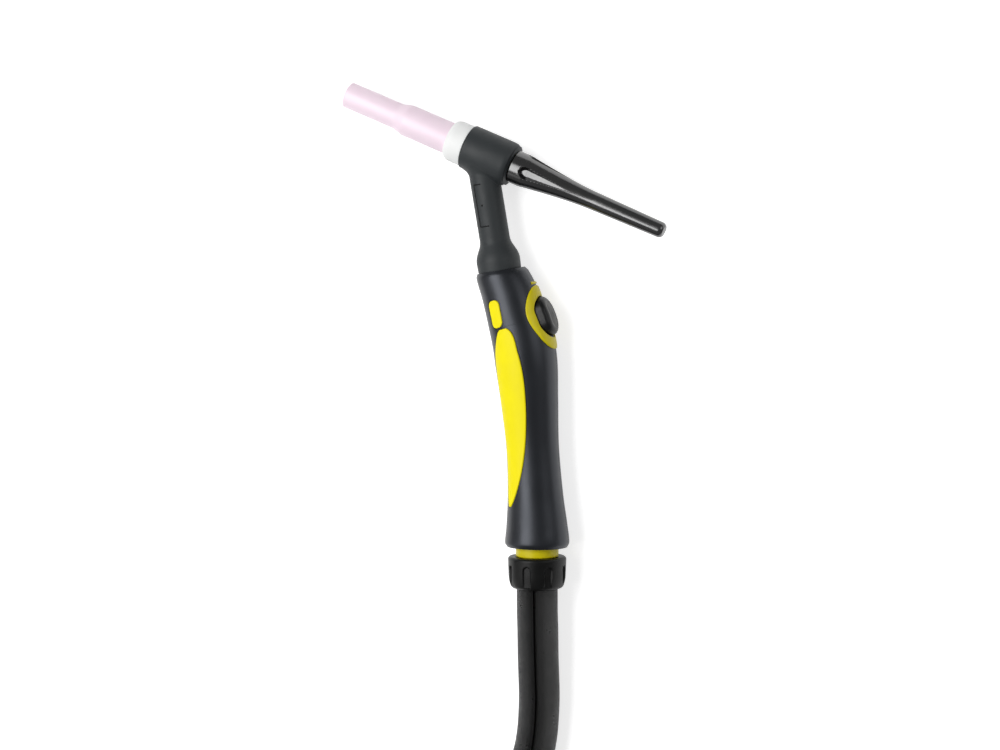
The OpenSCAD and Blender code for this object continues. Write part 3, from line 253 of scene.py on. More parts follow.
# One surface: two close colours mottled by a cloud, roughness that wanders with it, and grain as relief.
# Sizes are in millimetres. A cell pattern gives leather's pebbles, with painted shade darkening their
# creases; a stretch gives turning or drawing lines.
def makeMaterial(name, look):
    material = bpy.data.materials.new(name)
    material.use_nodes = True
    tree = material.node_tree
    tree.nodes.clear()
    place = add(tree, "ShaderNodeTexCoord")
    spread = add(tree, "ShaderNodeMapping", {"Vector": (place, "Object"),
                                            "Rotation": look.get("turn", (0, 0, 0)),
                                            "Scale": look.get("stretch", (1, 1, 1))})
    cloud = add(tree, "ShaderNodeTexNoise", {"Vector": (spread, "Vector"), "Detail": 3,
                                            "Scale": 1 / (look["patch"] * mm)})
    grain = add(tree, "ShaderNodeTexNoise", {"Vector": (spread, "Vector"), "Detail": 2,
                                            "Scale": 1 / (look["grain"] * mm)})
    relief = (grain, "Fac")
    if look.get("cells"):
        wander = add(tree, "ShaderNodeVectorMath", {0: (spread, "Vector"), 1: (grain, "Color")},
                     operation="MULTIPLY_ADD")
        wander.inputs[1].default_value = (1, 1, 1)
        tree.links.new(spread.outputs["Vector"], wander.inputs[0])
        shift = add(tree, "ShaderNodeVectorMath", {0: (grain, "Color")}, operation="SCALE")
        shift.inputs["Scale"].default_value = look["cells"] * 0.5 * mm
        tree.links.new(shift.outputs["Vector"], wander.inputs[2])
        cells = add(tree, "ShaderNodeTexVoronoi", {"Vector": (wander, "Vector"),
                                                  "Scale": 1 / (look["cells"] * mm)},
                    feature="DISTANCE_TO_EDGE")
        crease = add(tree, "ShaderNodeMapRange", {"Value": (cells, "Distance"), "From Max": 0.22})
        relief = (crease, "Result")
    tint = add(tree, "ShaderNodeMix", {"Factor": (cloud, "Fac")}, data_type="RGBA")
    tint.inputs[6].default_value = colour(look["colours"][0])
    tint.inputs[7].default_value = colour(look["colours"][1])
    shade = (tint, 2)
    # painted shade: the creases between the cells are mixed towards near-black
    if look.get("cells"):
        creaseShade = add(tree, "ShaderNodeMix", {"Factor": relief}, data_type="RGBA")
        creaseShade.inputs[6].default_value = colour(look["creaseShadeColour"])
        tree.links.new(tint.outputs[2], creaseShade.inputs[7])
        shade = (creaseShade, 2)
    rough = add(tree, "ShaderNodeMapRange", {"Value": (cloud, "Fac"), "From Min": 0.3, "From Max": 0.7,
                                            "To Min": look["rough"][0], "To Max": look["rough"][1]})
    bump = add(tree, "ShaderNodeBump", {"Height": relief, "Strength": look.get("strength", 0.5),
                                       "Distance": look["depth"] * mm})
    inputs = {"Base Color": shade, "Roughness": (rough, "Result"), "Normal": (bump, "Normal"),
              "Metallic": look.get("metal", 0)}
    for socket in ("Specular IOR Level", "Specular Tint", "Coat Weight", "Coat Roughness",
                   "Sheen Weight", "Sheen Roughness", "Subsurface Weight", "Subsurface Scale", "IOR"):
        if socket in look:
            inputs[socket] = look[socket]
    shader = add(tree, "ShaderNodeBsdfPrincipled", inputs)
    add(tree, "ShaderNodeOutputMaterial", {"Surface": (shader, "BSDF")})
    return material


looks = {
    # slip-cast and fired alumina: pale pink, even, silky, with a faint speckle
    "firedAlumina": dict(colours=("#F3DCEA", "#F7E5F0"), rough=(0.34, 0.46), patch=9, grain=0.35, depth=0.02,
                         IOR=1.6),
    # turned PTFE: waxy white with a soft sheen
    "turnedPtfe": dict(colours=("#ECEDEC", "#F4F5F4"), rough=(0.4, 0.52), patch=6, grain=0.5, depth=0.015,
                       IOR=1.35),
    # moulded silicone rubber: charcoal, dull and even
    "siliconeRubber": dict(colours=("#25292B", "#2B2F31"), rough=(0.5, 0.62), patch=8, grain=0.45, depth=0.05,
                           strength=0.35, IOR=1.42),
    # compression-moulded phenolic: deep black with a hard gloss and a slight orange peel
    "blackPhenolic": dict(colours=("#070708", "#0C0C0D"), rough=(0.16, 0.22), patch=7, grain=1.6, depth=0.02,
                          strength=0.2, **{"IOR": 1.62, "Specular IOR Level": 0.9}),
    # glass-filled nylon from a fine-textured mould: black, satin, a bluish broad highlight
    "texturedNylon": dict(colours=("#0A0C0F", "#0F1115"), rough=(0.34, 0.4), patch=14, grain=0.4, depth=0.04,
                          strength=0.35, **{"IOR": 1.53, "Specular Tint": (0.86, 0.9, 1.0, 1.0)}),
    # overmoulded thermoplastic elastomer: saturated yellow, soft and slightly dull
    "yellowElastomer": dict(colours=("#EFDF00", "#F8EA00"), rough=(0.45, 0.58), patch=10, grain=0.5,
                            depth=0.04, strength=0.3, **{"IOR": 1.45, "Specular IOR Level": 0.25}),
    # moulded nylon: deeper mustard yellow with a satin gloss
    "mustardNylon": dict(colours=("#C9BA00", "#D6C700"), rough=(0.3, 0.4), patch=6, grain=0.6, depth=0.03,
                         strength=0.3, **{"IOR": 1.5, "Specular IOR Level": 0.3}),
    # polished-mould nylon: black with a clear highlight
    "glossNylon": dict(colours=("#08090A", "#0D0E0F"), rough=(0.34, 0.42), patch=6, grain=0.5, depth=0.03,
                       strength=0.3, **{"IOR": 1.5, "Specular IOR Level": 0.3}),
    # spark-eroded mould finish on nylon: dull black
    "nutNylon": dict(colours=("#050505", "#090A0A"), rough=(0.36, 0.46), patch=5, grain=0.4, depth=0.06,
                     strength=0.4, **{"IOR": 1.5, "Specular IOR Level": 0.22}),
    # cowhide, drum-dyed black: small pebbles with painted shade darkening their creases, and a dull rubbed
    # shine;
    # the pebbles are drawn coarser than life, as real ones are too fine to show
    "blackLeather": dict(colours=("#0A0B0C", "#191A1C"), creaseShadeColour="#010101", rough=(0.26, 0.42), patch=9,
                         grain=1.6, cells=2.3, depth=1.4, strength=1.0, IOR=1.55),
    # moulded EPDM rubber: black-grey and dull
    "mouldedRubber": dict(colours=("#1A1B1C", "#232425"), rough=(0.5, 0.66), patch=9, grain=0.5, depth=0.05,
                          strength=0.35, IOR=1.5),
    # machined brass, lathe-turned and handled: warm yellow, faint lines and darker patches
    "turnedBrass": dict(colours=("#B98F45", "#D9B568"), rough=(0.22, 0.36), patch=5, grain=0.25, depth=0.012,
                        strength=0.4, metal=1, stretch=(1, 1, 0.3)),
    # machined tellurium copper: warm red-brown with a soft metallic sheen
    "turnedCopper": dict(colours=("#A8623F", "#C98058"), rough=(0.24, 0.38), patch=5, grain=0.25, depth=0.012,
                         strength=0.4, metal=1),
    # centreless-ground tungsten: mid grey with fine lines along the rod
    "groundTungsten": dict(colours=("#8B8B8C", "#A2A2A3"), rough=(0.28, 0.4), patch=3, grain=0.15,
                           depth=0.008, strength=0.4, metal=1),
    # zinc-plated steel: bright grey, faintly bluish
    "zincSteel": dict(colours=("#A9ACB0", "#C3C6C9"), rough=(0.25, 0.4), patch=3, grain=0.2, depth=0.01,
                      strength=0.4, metal=1),
}
materials = {name: makeMaterial(name, look) for name, look in looks.items()}
print("materials made")


# gives a piece its finish and its body, and hides the CAD nodes it stands for
def finish(piece, material, body, nodes):
    piece.data.materials.clear()
    piece.data.materials.append(materials[material])
    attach(piece, body)
    if nodes:
        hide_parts(*nodes)
    return piece


# camera, floor and light
shot = {"target": (-2.0, -23.1, 17.0), "yaw": 18, "pitch": 5, "distance": 2000, "lens": 122.6, "sensor": 36}
yaw, pitch = math.radians(shot["yaw"]), math.radians(shot["pitch"])
away = np.array([math.sin(yaw) * math.cos(pitch), math.sin(pitch), math.cos(yaw) * math.cos(pitch)])
rightward = np.array([math.cos(yaw), 0, -math.sin(yaw)])
upward = np.cross(away, rightward)


# turns an object so that its -Z looks along -backward and its +Y along upward
def aim(thing, place, backward, topward):
    backward = backward / np.linalg.norm(backward)
    sideward = np.cross(topward, backward)
    sideward /= np.linalg.norm(sideward)
    topward = np.cross(backward, sideward)
    matrix = np.eye(4)
    matrix[:3, 0], matrix[:3, 1], matrix[:3, 2], matrix[:3, 3] = sideward, topward, backward, place
    thing.matrix_world = Matrix(matrix.tolist())


cameraData = bpy.data.cameras.new("camera")
cameraData.lens, cameraData.sensor_width = shot["lens"], shot["sensor"]
camera = bpy.data.objects.new("camera", cameraData)
bpy.context.scene.collection.objects.link(camera)
aim(camera, (np.array(shot["target"]) + shot["distance"] * away) * mm, away, upward)
bpy.context.scene.camera = camera

studio = {"floorSize": 6.0, "floorColour": "#E6E6E6", "worldStrength": 0.26, "cameraGlow": 0.66,
          "key": dict(place=(-0.68, 0.22, 1.45), size=(0.95, 1.4), power=22),
          "side": dict(place=(1.3, 0.5, 0.9), size=(0.9, 0.9), power=4),
          "back": dict(place=(-1.2, -0.6, 0.8), size=(0.9, 0.9), power=2)}


def makeFloor(size):
    half = size / 2 / mm
    steps = np.linspace(-half, half, 3)
    x, y = np.meshgrid(steps, steps, indexing="ij")
    sheet = np.stack([x, y, np.full_like(x, -0.02)], -1)
    floor = makePiece("floor", sheet, gridQuads(3, 3, wrapCols=False))
    material = bpy.data.materials.new("matteCard")  # pale matte card that the studio light makes white
    material.use_nodes = True
    tree = material.node_tree
    tree.nodes.clear()
    rays = add(tree, "ShaderNodeLightPath")
    seen = add(tree, "ShaderNodeMath", {0: (rays, "Is Camera Ray"), 1: (rays, "Is Glossy Ray")},
               operation="MAXIMUM")
    through = add(tree, "ShaderNodeMath", {0: (seen, 0), 1: (rays, "Is Transmission Ray")},
                  operation="MAXIMUM")
    glow = add(tree, "ShaderNodeMath", {0: (through, 0), 1: studio["cameraGlow"]}, operation="MULTIPLY")
    card = add(tree, "ShaderNodeBsdfDiffuse", {"Color": colour(studio["floorColour"])})
    light = add(tree, "ShaderNodeEmission", {"Strength": (glow, 0)})
    both = add(tree, "ShaderNodeAddShader")
    tree.links.new(card.outputs[0], both.inputs[0])
    tree.links.new(light.outputs[0], both.inputs[1])
    add(tree, "ShaderNodeOutputMaterial", {"Surface": (both, 0)})
    floor.data.materials.append(material)


def makeLight(name, place, size, power):
    data = bpy.data.lights.new(name, "AREA")
    data.shape, data.size, data.size_y, data.energy = "RECTANGLE", size[0], size[1], power
    lamp = bpy.data.objects.new(name, data)
    bpy.context.scene.collection.objects.link(lamp)
    aim(lamp, place, np.array(place, float), np.array([0, 1.0, 0]))


makeFloor(studio["floorSize"])
for lampName in ("key", "side", "back"):
    makeLight(lampName, **studio[lampName])
world = bpy.data.worlds.new("studioWorld")
bpy.context.scene.world = world
world.use_nodes = True
world.node_tree.nodes.clear()
skyPath = add(world.node_tree, "ShaderNodeLightPath")
skySeen = add(world.node_tree, "ShaderNodeMapRange", {"Value": (skyPath, "Is Camera Ray"), "To Max": 1.0,
                                                     "To Min": studio["worldStrength"]})
sky = add(world.node_tree, "ShaderNodeBackground", {"Color": (1, 1, 1, 1), "Strength": (skySeen, 0)})
add(world.node_tree, "ShaderNodeOutputWorld", {"Surface": (sky, 0)})
bpy.context.scene.view_settings.view_transform = "Standard"
print("camera, floor and light placed")

# cable
cable = {"radius": 12, "turnGap": 0.6, "layerTurns": 2.25, "innerRadius": 97, "bearing": 125,
         "join": (-21.72, -301.44), "grooveAngle": 98, "length": 3.96}
pitchMm = 2 * cable["radius"] + cable["turnGap"]
outerRadius = cable["innerRadius"] + pitchMm * cable["layerTurns"]
sweepDegrees = 360 * cable["layerTurns"]
joinSide = flat(cable["bearing"] + 90)
coilAt = np.array([*cable["join"], 0]) + 2 * cable["radius"] * joinSide - outerRadius * flat(cable["bearing"])


# the coil: the lower layer winds inwards, the upper one back outwards, a pitch apart
def coilPoints(degrees):
    inward = np.minimum(degrees, 2 * sweepDegrees - degrees)
    radius = outerRadius - pitchMm * inward / 360
    height = cable["radius"] + pitchMm * ease((degrees - sweepDegrees + 90) / 180)
    bearing = np.radians(cable["bearing"] + degrees)
    return np.stack([coilAt[0] + radius * np.cos(bearing), coilAt[1] + radius * np.sin(bearing), height], -1)


coil = coilPoints(np.arange(0, 2 * sweepDegrees + 1, 5.0))
coilStart = np.array([*cable["join"], cable["radius"]])
endBearing = cable["bearing"] + 2 * sweepDegrees
coilEnd = coil[-1] + 2 * cable["radius"] * flat(endBearing + 90)
freeRoute = np.array([[21.3, -176, 4.6], [21.3, -198, 3], [21.2, -219, 1.4], [18.8, -241, 0.3],
                      [13, -261, 0], [4.1, -280, 0]]) + [0, 0, cable["radius"]]
sheathFrom = tailAt + tailAxis * (torch["swivelLength"] + torch["nutLength"] / 2)
freePath = np.concatenate([[sheathFrom], smoothThrough(
    np.concatenate([[sheathFrom + 14 * tailAxis], freeRoute, [coilStart]]), 4)])
# end of the cable: bearing past the coil's end, distance outside the coil, rise in pitches
endRoute = np.array([[18.5, 4.6, 0.1], [28, 4.9, 0.3], [37.6, 2.8, 0.57], [47.2, -1.8, 0.83],
                     [57, -8.7, 0.99], [67.1, -17.9, 1.03], [79.1, -30.6, 1.03], [92.8, -46.4, 1.03]])
endAngle = np.radians(endBearing + endRoute[:, 0])
endPoints = np.stack([coilAt[0] + (outerRadius + endRoute[:, 1]) * np.cos(endAngle),
                      coilAt[1] + (outerRadius + endRoute[:, 1]) * np.sin(endAngle),
                      cable["radius"] + pitchMm * (1 + endRoute[:, 2])], -1)
endPath = smoothThrough(np.concatenate([[coilEnd], endPoints]), 4)
bootAt = endPath[-1]
cablePath = evenly(np.concatenate([freePath[:-1], [coilStart], coil, endPath]), 4)


# turns of the sheath's rings, closer together at the seam
seamTurns = np.radians(np.sort(np.concatenate([
    np.arange(0, 360, 6) + 2.0,
    cable["grooveAngle"] + np.array([-4.6, -3.2, -2.4, -1.6, -0.8, 0, 0.8, 1.6, 2.6])])))


# radius of the sheath round one turn: the flap overlaps by a step, with a groove at its edge
def sheathRadius(steps):
    turn = np.degrees(seamTurns)
    offset = (turn - cable["grooveAngle"] + 180) % 360 - 180
    flap = 0.35 * ease(1 - np.abs(offset - 22) / 24)
    groove = 1.5 * np.exp(-(offset / 2.2) ** 4)
    along = np.arange(steps)[:, None]
    wrinkle = 0.06 * np.sin(along * 0.9 + 2 * np.sin(along * 0.13) + np.radians(turn) * 3)
    return cable["radius"] + 0.1 + flap - groove + wrinkle


torchCable = ringSolid("torchCable", tubeRings(cablePath, sheathRadius(len(cablePath)), 0, ends=0.9,
                                               turn=seamTurns))
finish(torchCable, "blackLeather", "torch", ["cable_sheath", "cable_coil", "cable_tail"])
print("cable laid,", round(float(np.linalg.norm(np.diff(cablePath, axis=0), axis=1).sum())), "mm")

# connectors at the cable's far end
ends = {"bootLength": 58, "tailLength": 40, "powerDiameter": 33, "gasNut": 21, "controlRing": 18,
        "powerLead": 5, "gasHose": 4, "controlLead": 2.5}
bootAxis = flat(endBearing + 215)
bootRight = np.cross(bootAxis, up)
coilTop = 2 * cable["radius"] + pitchMm
endsAt = ends["bootLength"] + ends["tailLength"]


def onBoot(along, side=0.0, rise=0.0):
    return bootAt + along * bootAxis + side * bootRight + rise * up


def lying(radius):  # height above the boot's middle of a round thing that lies on the coil
    return coilTop + 0.2 + radius - bootAt[2]


powerSide = -5
gasSide = powerSide + ends["powerDiameter"] / 2 + ends["gasNut"] / 2 + 1
plugSide = gasSide + ends["gasNut"] / 2 + ends["controlRing"] / 2 + 1


# a short lead from the boot to its connector: level out of both ends, a slant between
def makeLead(name, side, rise, toSide, toRise, toAlong, radius, lift, nodes):
    third = ends["tailLength"] / 3
    boot = ends["bootLength"]
    route = [onBoot(boot - 1, side, rise), onBoot(boot + 4, side, rise),
             onBoot(boot + third, mix(side, toSide, 0.2), mix(rise, toRise, 0.2) + lift),
             onBoot(toAlong - third, mix(side, toSide, 0.8), mix(rise, toRise, 0.8) + lift),
             onBoot(toAlong - 4, toSide, toRise), onBoot(toAlong + 0.5, toSide, toRise)]
    piece = ringSolid(name, tubeRings(smoothThrough(route, 8), radius, 32))
    return finish(piece, "mouldedRubber", "torch", nodes)


powerLead = makeLead("powerLead", powerSide, 0, powerSide, lying(ends["powerDiameter"] / 2), endsAt,
                     ends["powerLead"], 0, ["power_lead"])
gasHose = makeLead("gasHose", 5.4, 0, gasSide, lying(ends["gasNut"] / 2), endsAt - 12, ends["gasHose"], 0,
                   ["gas_hose"])
controlLead = makeLead("controlLead", 1, 7.8, plugSide, lying(ends["controlRing"] / 2), endsAt - 8,
                       ends["controlLead"], 2, ["control_lead"])


# outline of moulded ribs: a raised cosine, some ribs between two heights
def ribbed(low, high, count, radiusFrom, radiusTo, depth, points=12):
    height = np.linspace(low, high, count * points)
    share = (height - low) / (high - low)
    return np.stack([mix(radiusFrom, radiusTo, share)
                     - depth * (0.5 + 0.5 * np.cos(2 * np.pi * count * share)), height], -1)


def solidOutline(name, parts, origin, axis, sides=96):
    line = np.concatenate(parts)
    return ringSolid(name, turned(line[:, 0], line[:, 1], origin, axis, sides=sides))


bootOutline = [[(0.2, 0), (11, 0), (12.2, 0.6), (12.6, 1.8), (12.6, 15.2), (12.2, 16.4)],
               ribbed(18, 44, 6, 12, 12, 0.9), [(12, 46), (12, 54.5), (11.6, 56.8), (10.4, 57.8), (0.2, 58)]]
splitterBoot = solidOutline("splitterBoot", bootOutline, bootAt, bootAxis)
finish(splitterBoot, "mouldedRubber", "torch", ["splitter_boot"])
sleeveOutline = [[(0.2, 0), (6, 0), (6.9, 0.8)], ribbed(2, 13, 4, 7.2, 8.6, 0.7),
                 [(10.4, 15.5), (14, 18.6), (15.8, 21), (16.4, 24)], ribbed(26, 44, 7, 16.5, 16.5, 0.7),
                 [(16.5, 46), (16.5, 50.6), (15.9, 51.7), (15.2, 52), (11.4, 52), (10.6, 51.4), (10.5, 40),
                  (0.2, 40)]]
powerAt = onBoot(endsAt, powerSide, lying(ends["powerDiameter"] / 2))
powerSleeve = solidOutline("powerPlugSleeve", sleeveOutline, powerAt, bootAxis)
finish(powerSleeve, "mouldedRubber", "torch", ["power_plug_sleeve"])
plugAt = onBoot(endsAt - 8, plugSide, lying(ends["controlRing"] / 2))
plugOutline = [[(0.2, 0), (3.4, 0), (3.9, 0.5)], ribbed(1, 8, 3, 3.9, 4.8, 0.5),
               [(6.6, 9.6), (7.2, 10.8), (7.5, 12), (7.5, 19.6), (7.2, 20), (6.3, 20), (6.3, 33.6), (7, 33.6),
                (7.1, 34), (7.1, 35.4), (6.8, 36), (6.1, 36), (6, 31.5), (0.2, 31.5)]]
controlPlug = solidOutline("controlPlug", plugOutline, plugAt, bootAxis)
finish(controlPlug, "glossNylon", "torch", ["control_plug"])


# five round contact pins in the plug's hollow front
def makeContacts():
    stations = np.radians(np.arange(5) * 72.0)
    centres = [plugAt + 3.6 * (math.cos(a) * up + math.sin(a) * bootRight) for a in stations]
    line = rounded([(0.05, 31, 0), (0.8, 31, 0), (0.8, 35.2, 0.5), (0.05, 35.2, 0)], closed=False)
    groups = [turned(line[:, 0], line[:, 1], c, bootAxis, sides=20) for c in centres]
    return ringGroup("controlContacts", groups)


contacts = finish(makeContacts(), "turnedBrass", "torch", [])


# a knurled locking ring: radius = outer radius less a cosine ridge round it, faded at both edges
def makeLockRing():
    sides, ridges = 192, 24
    line = rounded([(6.6, 0, 0.3), (9, 0, 0.8), (9, 13, 0.8), (6.6, 13, 0.3)])
    line = np.concatenate([mix(line[k], line[(k + 1) % len(line)], t)[None]
                           for k in range(len(line)) for t in np.linspace(0, 1, 5)[:-1]])
    turn = np.linspace(0, 2 * np.pi, sides, endpoint=False)[None, :]
    fade = ease((line[:, :1] - 8.4) / 0.5) * ease((line[:, 1:] - 1) / 1.5) * ease((12 - line[:, 1:]) / 1.5)
    radius = line[:, :1] - 0.45 * fade * (0.5 + 0.5 * np.cos(ridges * turn)) ** 2
    origin = plugAt + 20.3 * bootAxis
    rings = turned(radius, line[:, 1:] * np.ones((1, sides)), origin, bootAxis, sides=sides)
    return ringSolid("controlPlugRing", rings, loop=True)


lockRing = finish(makeLockRing(), "glossNylon", "plug_lock", ["control_plug_ring"])
print("connectors made")

# front end
def onHead(along):
    return headAt + along * headAxis


nozzle = {"frontRadius": 7.8, "rearRadius": 9.5, "boreRadius": 5.5, "frontLength": 34, "step": 6, "seat": 3,
          "threadRadius": 6.45, "threadFrom": 53}
nozzleEnd = torch["nozzleLength"] + nozzle["seat"]
gasNozzle = turnedPiece("gasNozzle", [
    (nozzle["boreRadius"], 0, 0.5), (nozzle["frontRadius"], 0, 0.9),
    (nozzle["frontRadius"], nozzle["frontLength"], 1.2),
    (nozzle["rearRadius"], nozzle["frontLength"] + nozzle["step"], 1.2),
    (nozzle["rearRadius"], nozzleEnd, 0.4),
    (nozzle["threadRadius"], nozzleEnd, 0.4), (nozzle["threadRadius"], nozzle["threadFrom"], 0.3),
    (nozzle["boreRadius"], nozzle["threadFrom"] - 2, 0.3)], onHead(tipAt), headAxis, sides=128)
finish(gasNozzle, "firedAlumina", "nozzle", ["gas_nozzle"])

ring = {"radius": 12.45, "seatRadius": 9.6, "boreRadius": 8.1, "seat": 3.1}
cupInsulator = turnedPiece("cupInsulator", [
    (ring["seatRadius"], 0, 0.3), (ring["radius"] - 2, 0, 0.5), (ring["radius"] - 0.7, 0.9, 0.9),
    (ring["radius"], 3.2, 0.9), (ring["radius"], torch["ringLength"], 0.3),
    (ring["boreRadius"], torch["ringLength"], 0.2), (ring["boreRadius"], ring["seat"], 0.2),
    (ring["seatRadius"], ring["seat"], 0.2)], onHead(tipAt + torch["nozzleLength"]), headAxis, sides=128)
finish(cupInsulator, "turnedPtfe", "insulator", ["cup_insulator"])
print("nozzle and ring made")

# head and neck
head = {"radius": 13.15, "coreRadius": 8.5, "edge": 3.4, "neckRadius": 8.9, "tubeRadius": 4.5,
        "collarRadius": 12.9, "collarLength": 8.5, "coneLength": 8, "spigotRadius": 10, "spigotLength": 5,
        "blendWide": 4.2, "blendTight": 1.0}


# the neck's outer wall: a quarter-circle blend off the barrel, then turned rings down to the spigot.
# The blend starts where radius and bearing meet the barrel: along = (sqrt(R^2 - y^2) + x sin t) / cos t
def neckRings(sides=128):
    turn = np.linspace(0, 2 * np.pi, sides, endpoint=False)[None, :]
    across = np.cross(up, neckAxis)  # towards the cap
    tilt = math.asin(float(np.dot(headAxis, neckAxis)))
    blend = mix(head["blendWide"], head["blendTight"], 0.5 + 0.5 * np.cos(turn))

    def onBarrel(radius):
        inside = np.maximum(head["radius"] ** 2 - (radius * np.sin(turn)) ** 2, 0.0)
        return (np.sqrt(inside) + radius * np.cos(turn) * math.sin(tilt)) / math.cos(tilt)
    foot = np.linspace(0, np.pi / 2, 12)[:, None]
    footRadius = head["neckRadius"] + blend * (1 - np.sin(foot))
    footAlong = onBarrel(footRadius) + blend * (1 - np.cos(foot)) - 0.12
    coneFrom = torch["neckLength"] - head["collarLength"] - head["coneLength"]
    end = torch["neckLength"] + 0.08
    corners = rounded([(head["neckRadius"], 27, 0), (head["neckRadius"], coneFrom, 2.6),
                       (head["collarRadius"] - 0.4, coneFrom + head["coneLength"] - 0.6, 2.2),
                       (head["collarRadius"], coneFrom + head["coneLength"] + 2.4, 1.2),
                       (head["collarRadius"] - 0.3, end, 0.3), (head["spigotRadius"], end, 0.3),
                       (head["spigotRadius"], end + head["spigotLength"] + 0.3, 0.4),
                       (head["tubeRadius"], end + head["spigotLength"] + 0.3, 0.3),
                       (head["tubeRadius"], 14, 0.3), (head["neckRadius"] - 2.5, 14, 0)],
                      closed=False, steps=7)
    radius = np.concatenate([footRadius * np.ones_like(turn), corners[:, :1] * np.ones_like(turn)])
    along = np.concatenate([footAlong, corners[:, 1:] * np.ones_like(turn)])
    turnColumns = turn[..., None]
    direction = np.cos(turnColumns) * -across + np.sin(turnColumns) * up
    if np.dot(across, headAxis) > 0:
        direction = np.cos(turnColumns) * across + np.sin(turnColumns) * up
    return headAt + along[..., None] * neckAxis + radius[..., None] * direction


barrelLength = torch["headFront"] + torch["headRear"]
barrelLine = rounded([(head["coreRadius"], 0, 0.4), (head["radius"], 0, 0.9),
                      (head["radius"], barrelLength - 0.6, head["edge"]),
                      (head["radius"] - 2.2, barrelLength, 1.2),
                      (head["coreRadius"], barrelLength, 0.4)])
barrel = turned(barrelLine[:, 0], barrelLine[:, 1], onHead(-torch["headFront"]), headAxis, sides=128)
headJacket = ringGroup("headJacket", [barrel, neckRings()], loop=True)
finish(headJacket, "siliconeRubber", "torch", ["head_jacket"])

# fine raised frame on the neck, open on one side, with a dot in it
frameMark = {"from": 18.8, "to": 43.6, "left": -5.4, "right": -0.8, "wire": 0.36, "dot": 0.75,
             "dotAlong": 31.3, "dotAcross": -1.6}


def onNeckSkin(across, along, lift):
    level = flat(torch["neckLean"])
    angle = across / head["neckRadius"]
    radius = (head["neckRadius"] + lift)[..., None] if np.ndim(lift) else head["neckRadius"] + lift
    return (headAt + np.asarray(along)[..., None] * neckAxis
            + radius * (np.sin(angle)[..., None] * level + np.cos(angle)[..., None] * up))


def makeFrameMark():
    corners = np.array([[frameMark["right"], frameMark["from"]], [frameMark["left"], frameMark["from"]],
                        [frameMark["left"], frameMark["to"]], [frameMark["right"] + 1.2, frameMark["to"]]])
    line = np.concatenate([mix(corners[k], corners[k + 1], np.linspace(0, 1, 12)[:, None])[: 12 - (k < 2)]
                           for k in range(3)])
    path = onNeckSkin(line[:, 0], line[:, 1], 0.0)
    wire = tubeRings(path, frameMark["wire"], 10, ends=0.5)
    arc = np.linspace(0.1, np.pi / 2, 6)
    dotAcross, dotAlong = np.array(frameMark["dotAcross"]), np.array(frameMark["dotAlong"])
    origin = onNeckSkin(dotAcross, dotAlong, -0.3)
    outward = onNeckSkin(dotAcross, dotAlong, 1.0) - onNeckSkin(dotAcross, dotAlong, 0.0)
    dome = turned(frameMark["dot"] * np.sin(arc)[::-1], 0.6 * np.cos(arc)[::-1], origin,
                  outward / np.linalg.norm(outward), side=neckAxis, sides=24)
    dot = np.concatenate([dome[:1] - 0.5 * outward, dome])
    points = np.concatenate([wire.reshape(-1, 3), dot.reshape(-1, 3)])
    return makePiece("neckFrame", points, ringFaces(wire, False) + ringFaces(dot, False, wire[..., 0].size))


finish(makeFrameMark(), "nutNylon", "torch", [])
print("head and neck made")

# back cap
cap = {"radius": 9.85, "land": 9, "stemRadius": 5.35, "endRadius": 4.6, "taper": 46, "flutes": 4,
       "floor": 6.7, "floorHalf": 2.5, "rimWide": 1.5, "bankRise": 3.2, "rimBlend": 0.1,
       "fluteFrom": 10.2, "fluteLength": 27, "mouthRound": 0.6, "mouthLength": 0.7,
       "tipRound": 1.4, "tipLength": 2.2, "tipFlat": 2.9, "pinhole": 0.3,
       "boreRadius": 2.3, "boreEnd": 95, "insertRadius": 5.95, "insertFrom": 2.4, "insertTo": 12.4,
       "sealRadius": 6.15, "mouthRadius": 8.25, "mouthDeep": 1.8}


def capRadius(along):
    share = np.clip((along - cap["land"]) / cap["taper"], 0, 1)
    tapered = mix(cap["stemRadius"], cap["radius"], (1 - share) ** 1.7)
    stem = mix(cap["stemRadius"], cap["endRadius"],
               np.clip((along - cap["land"] - cap["taper"])
                       / (torch["capLength"] - cap["land"] - cap["taper"]), 0, 1))
    return np.where(along < cap["land"], cap["radius"], np.where(share < 1, tapered, stem))


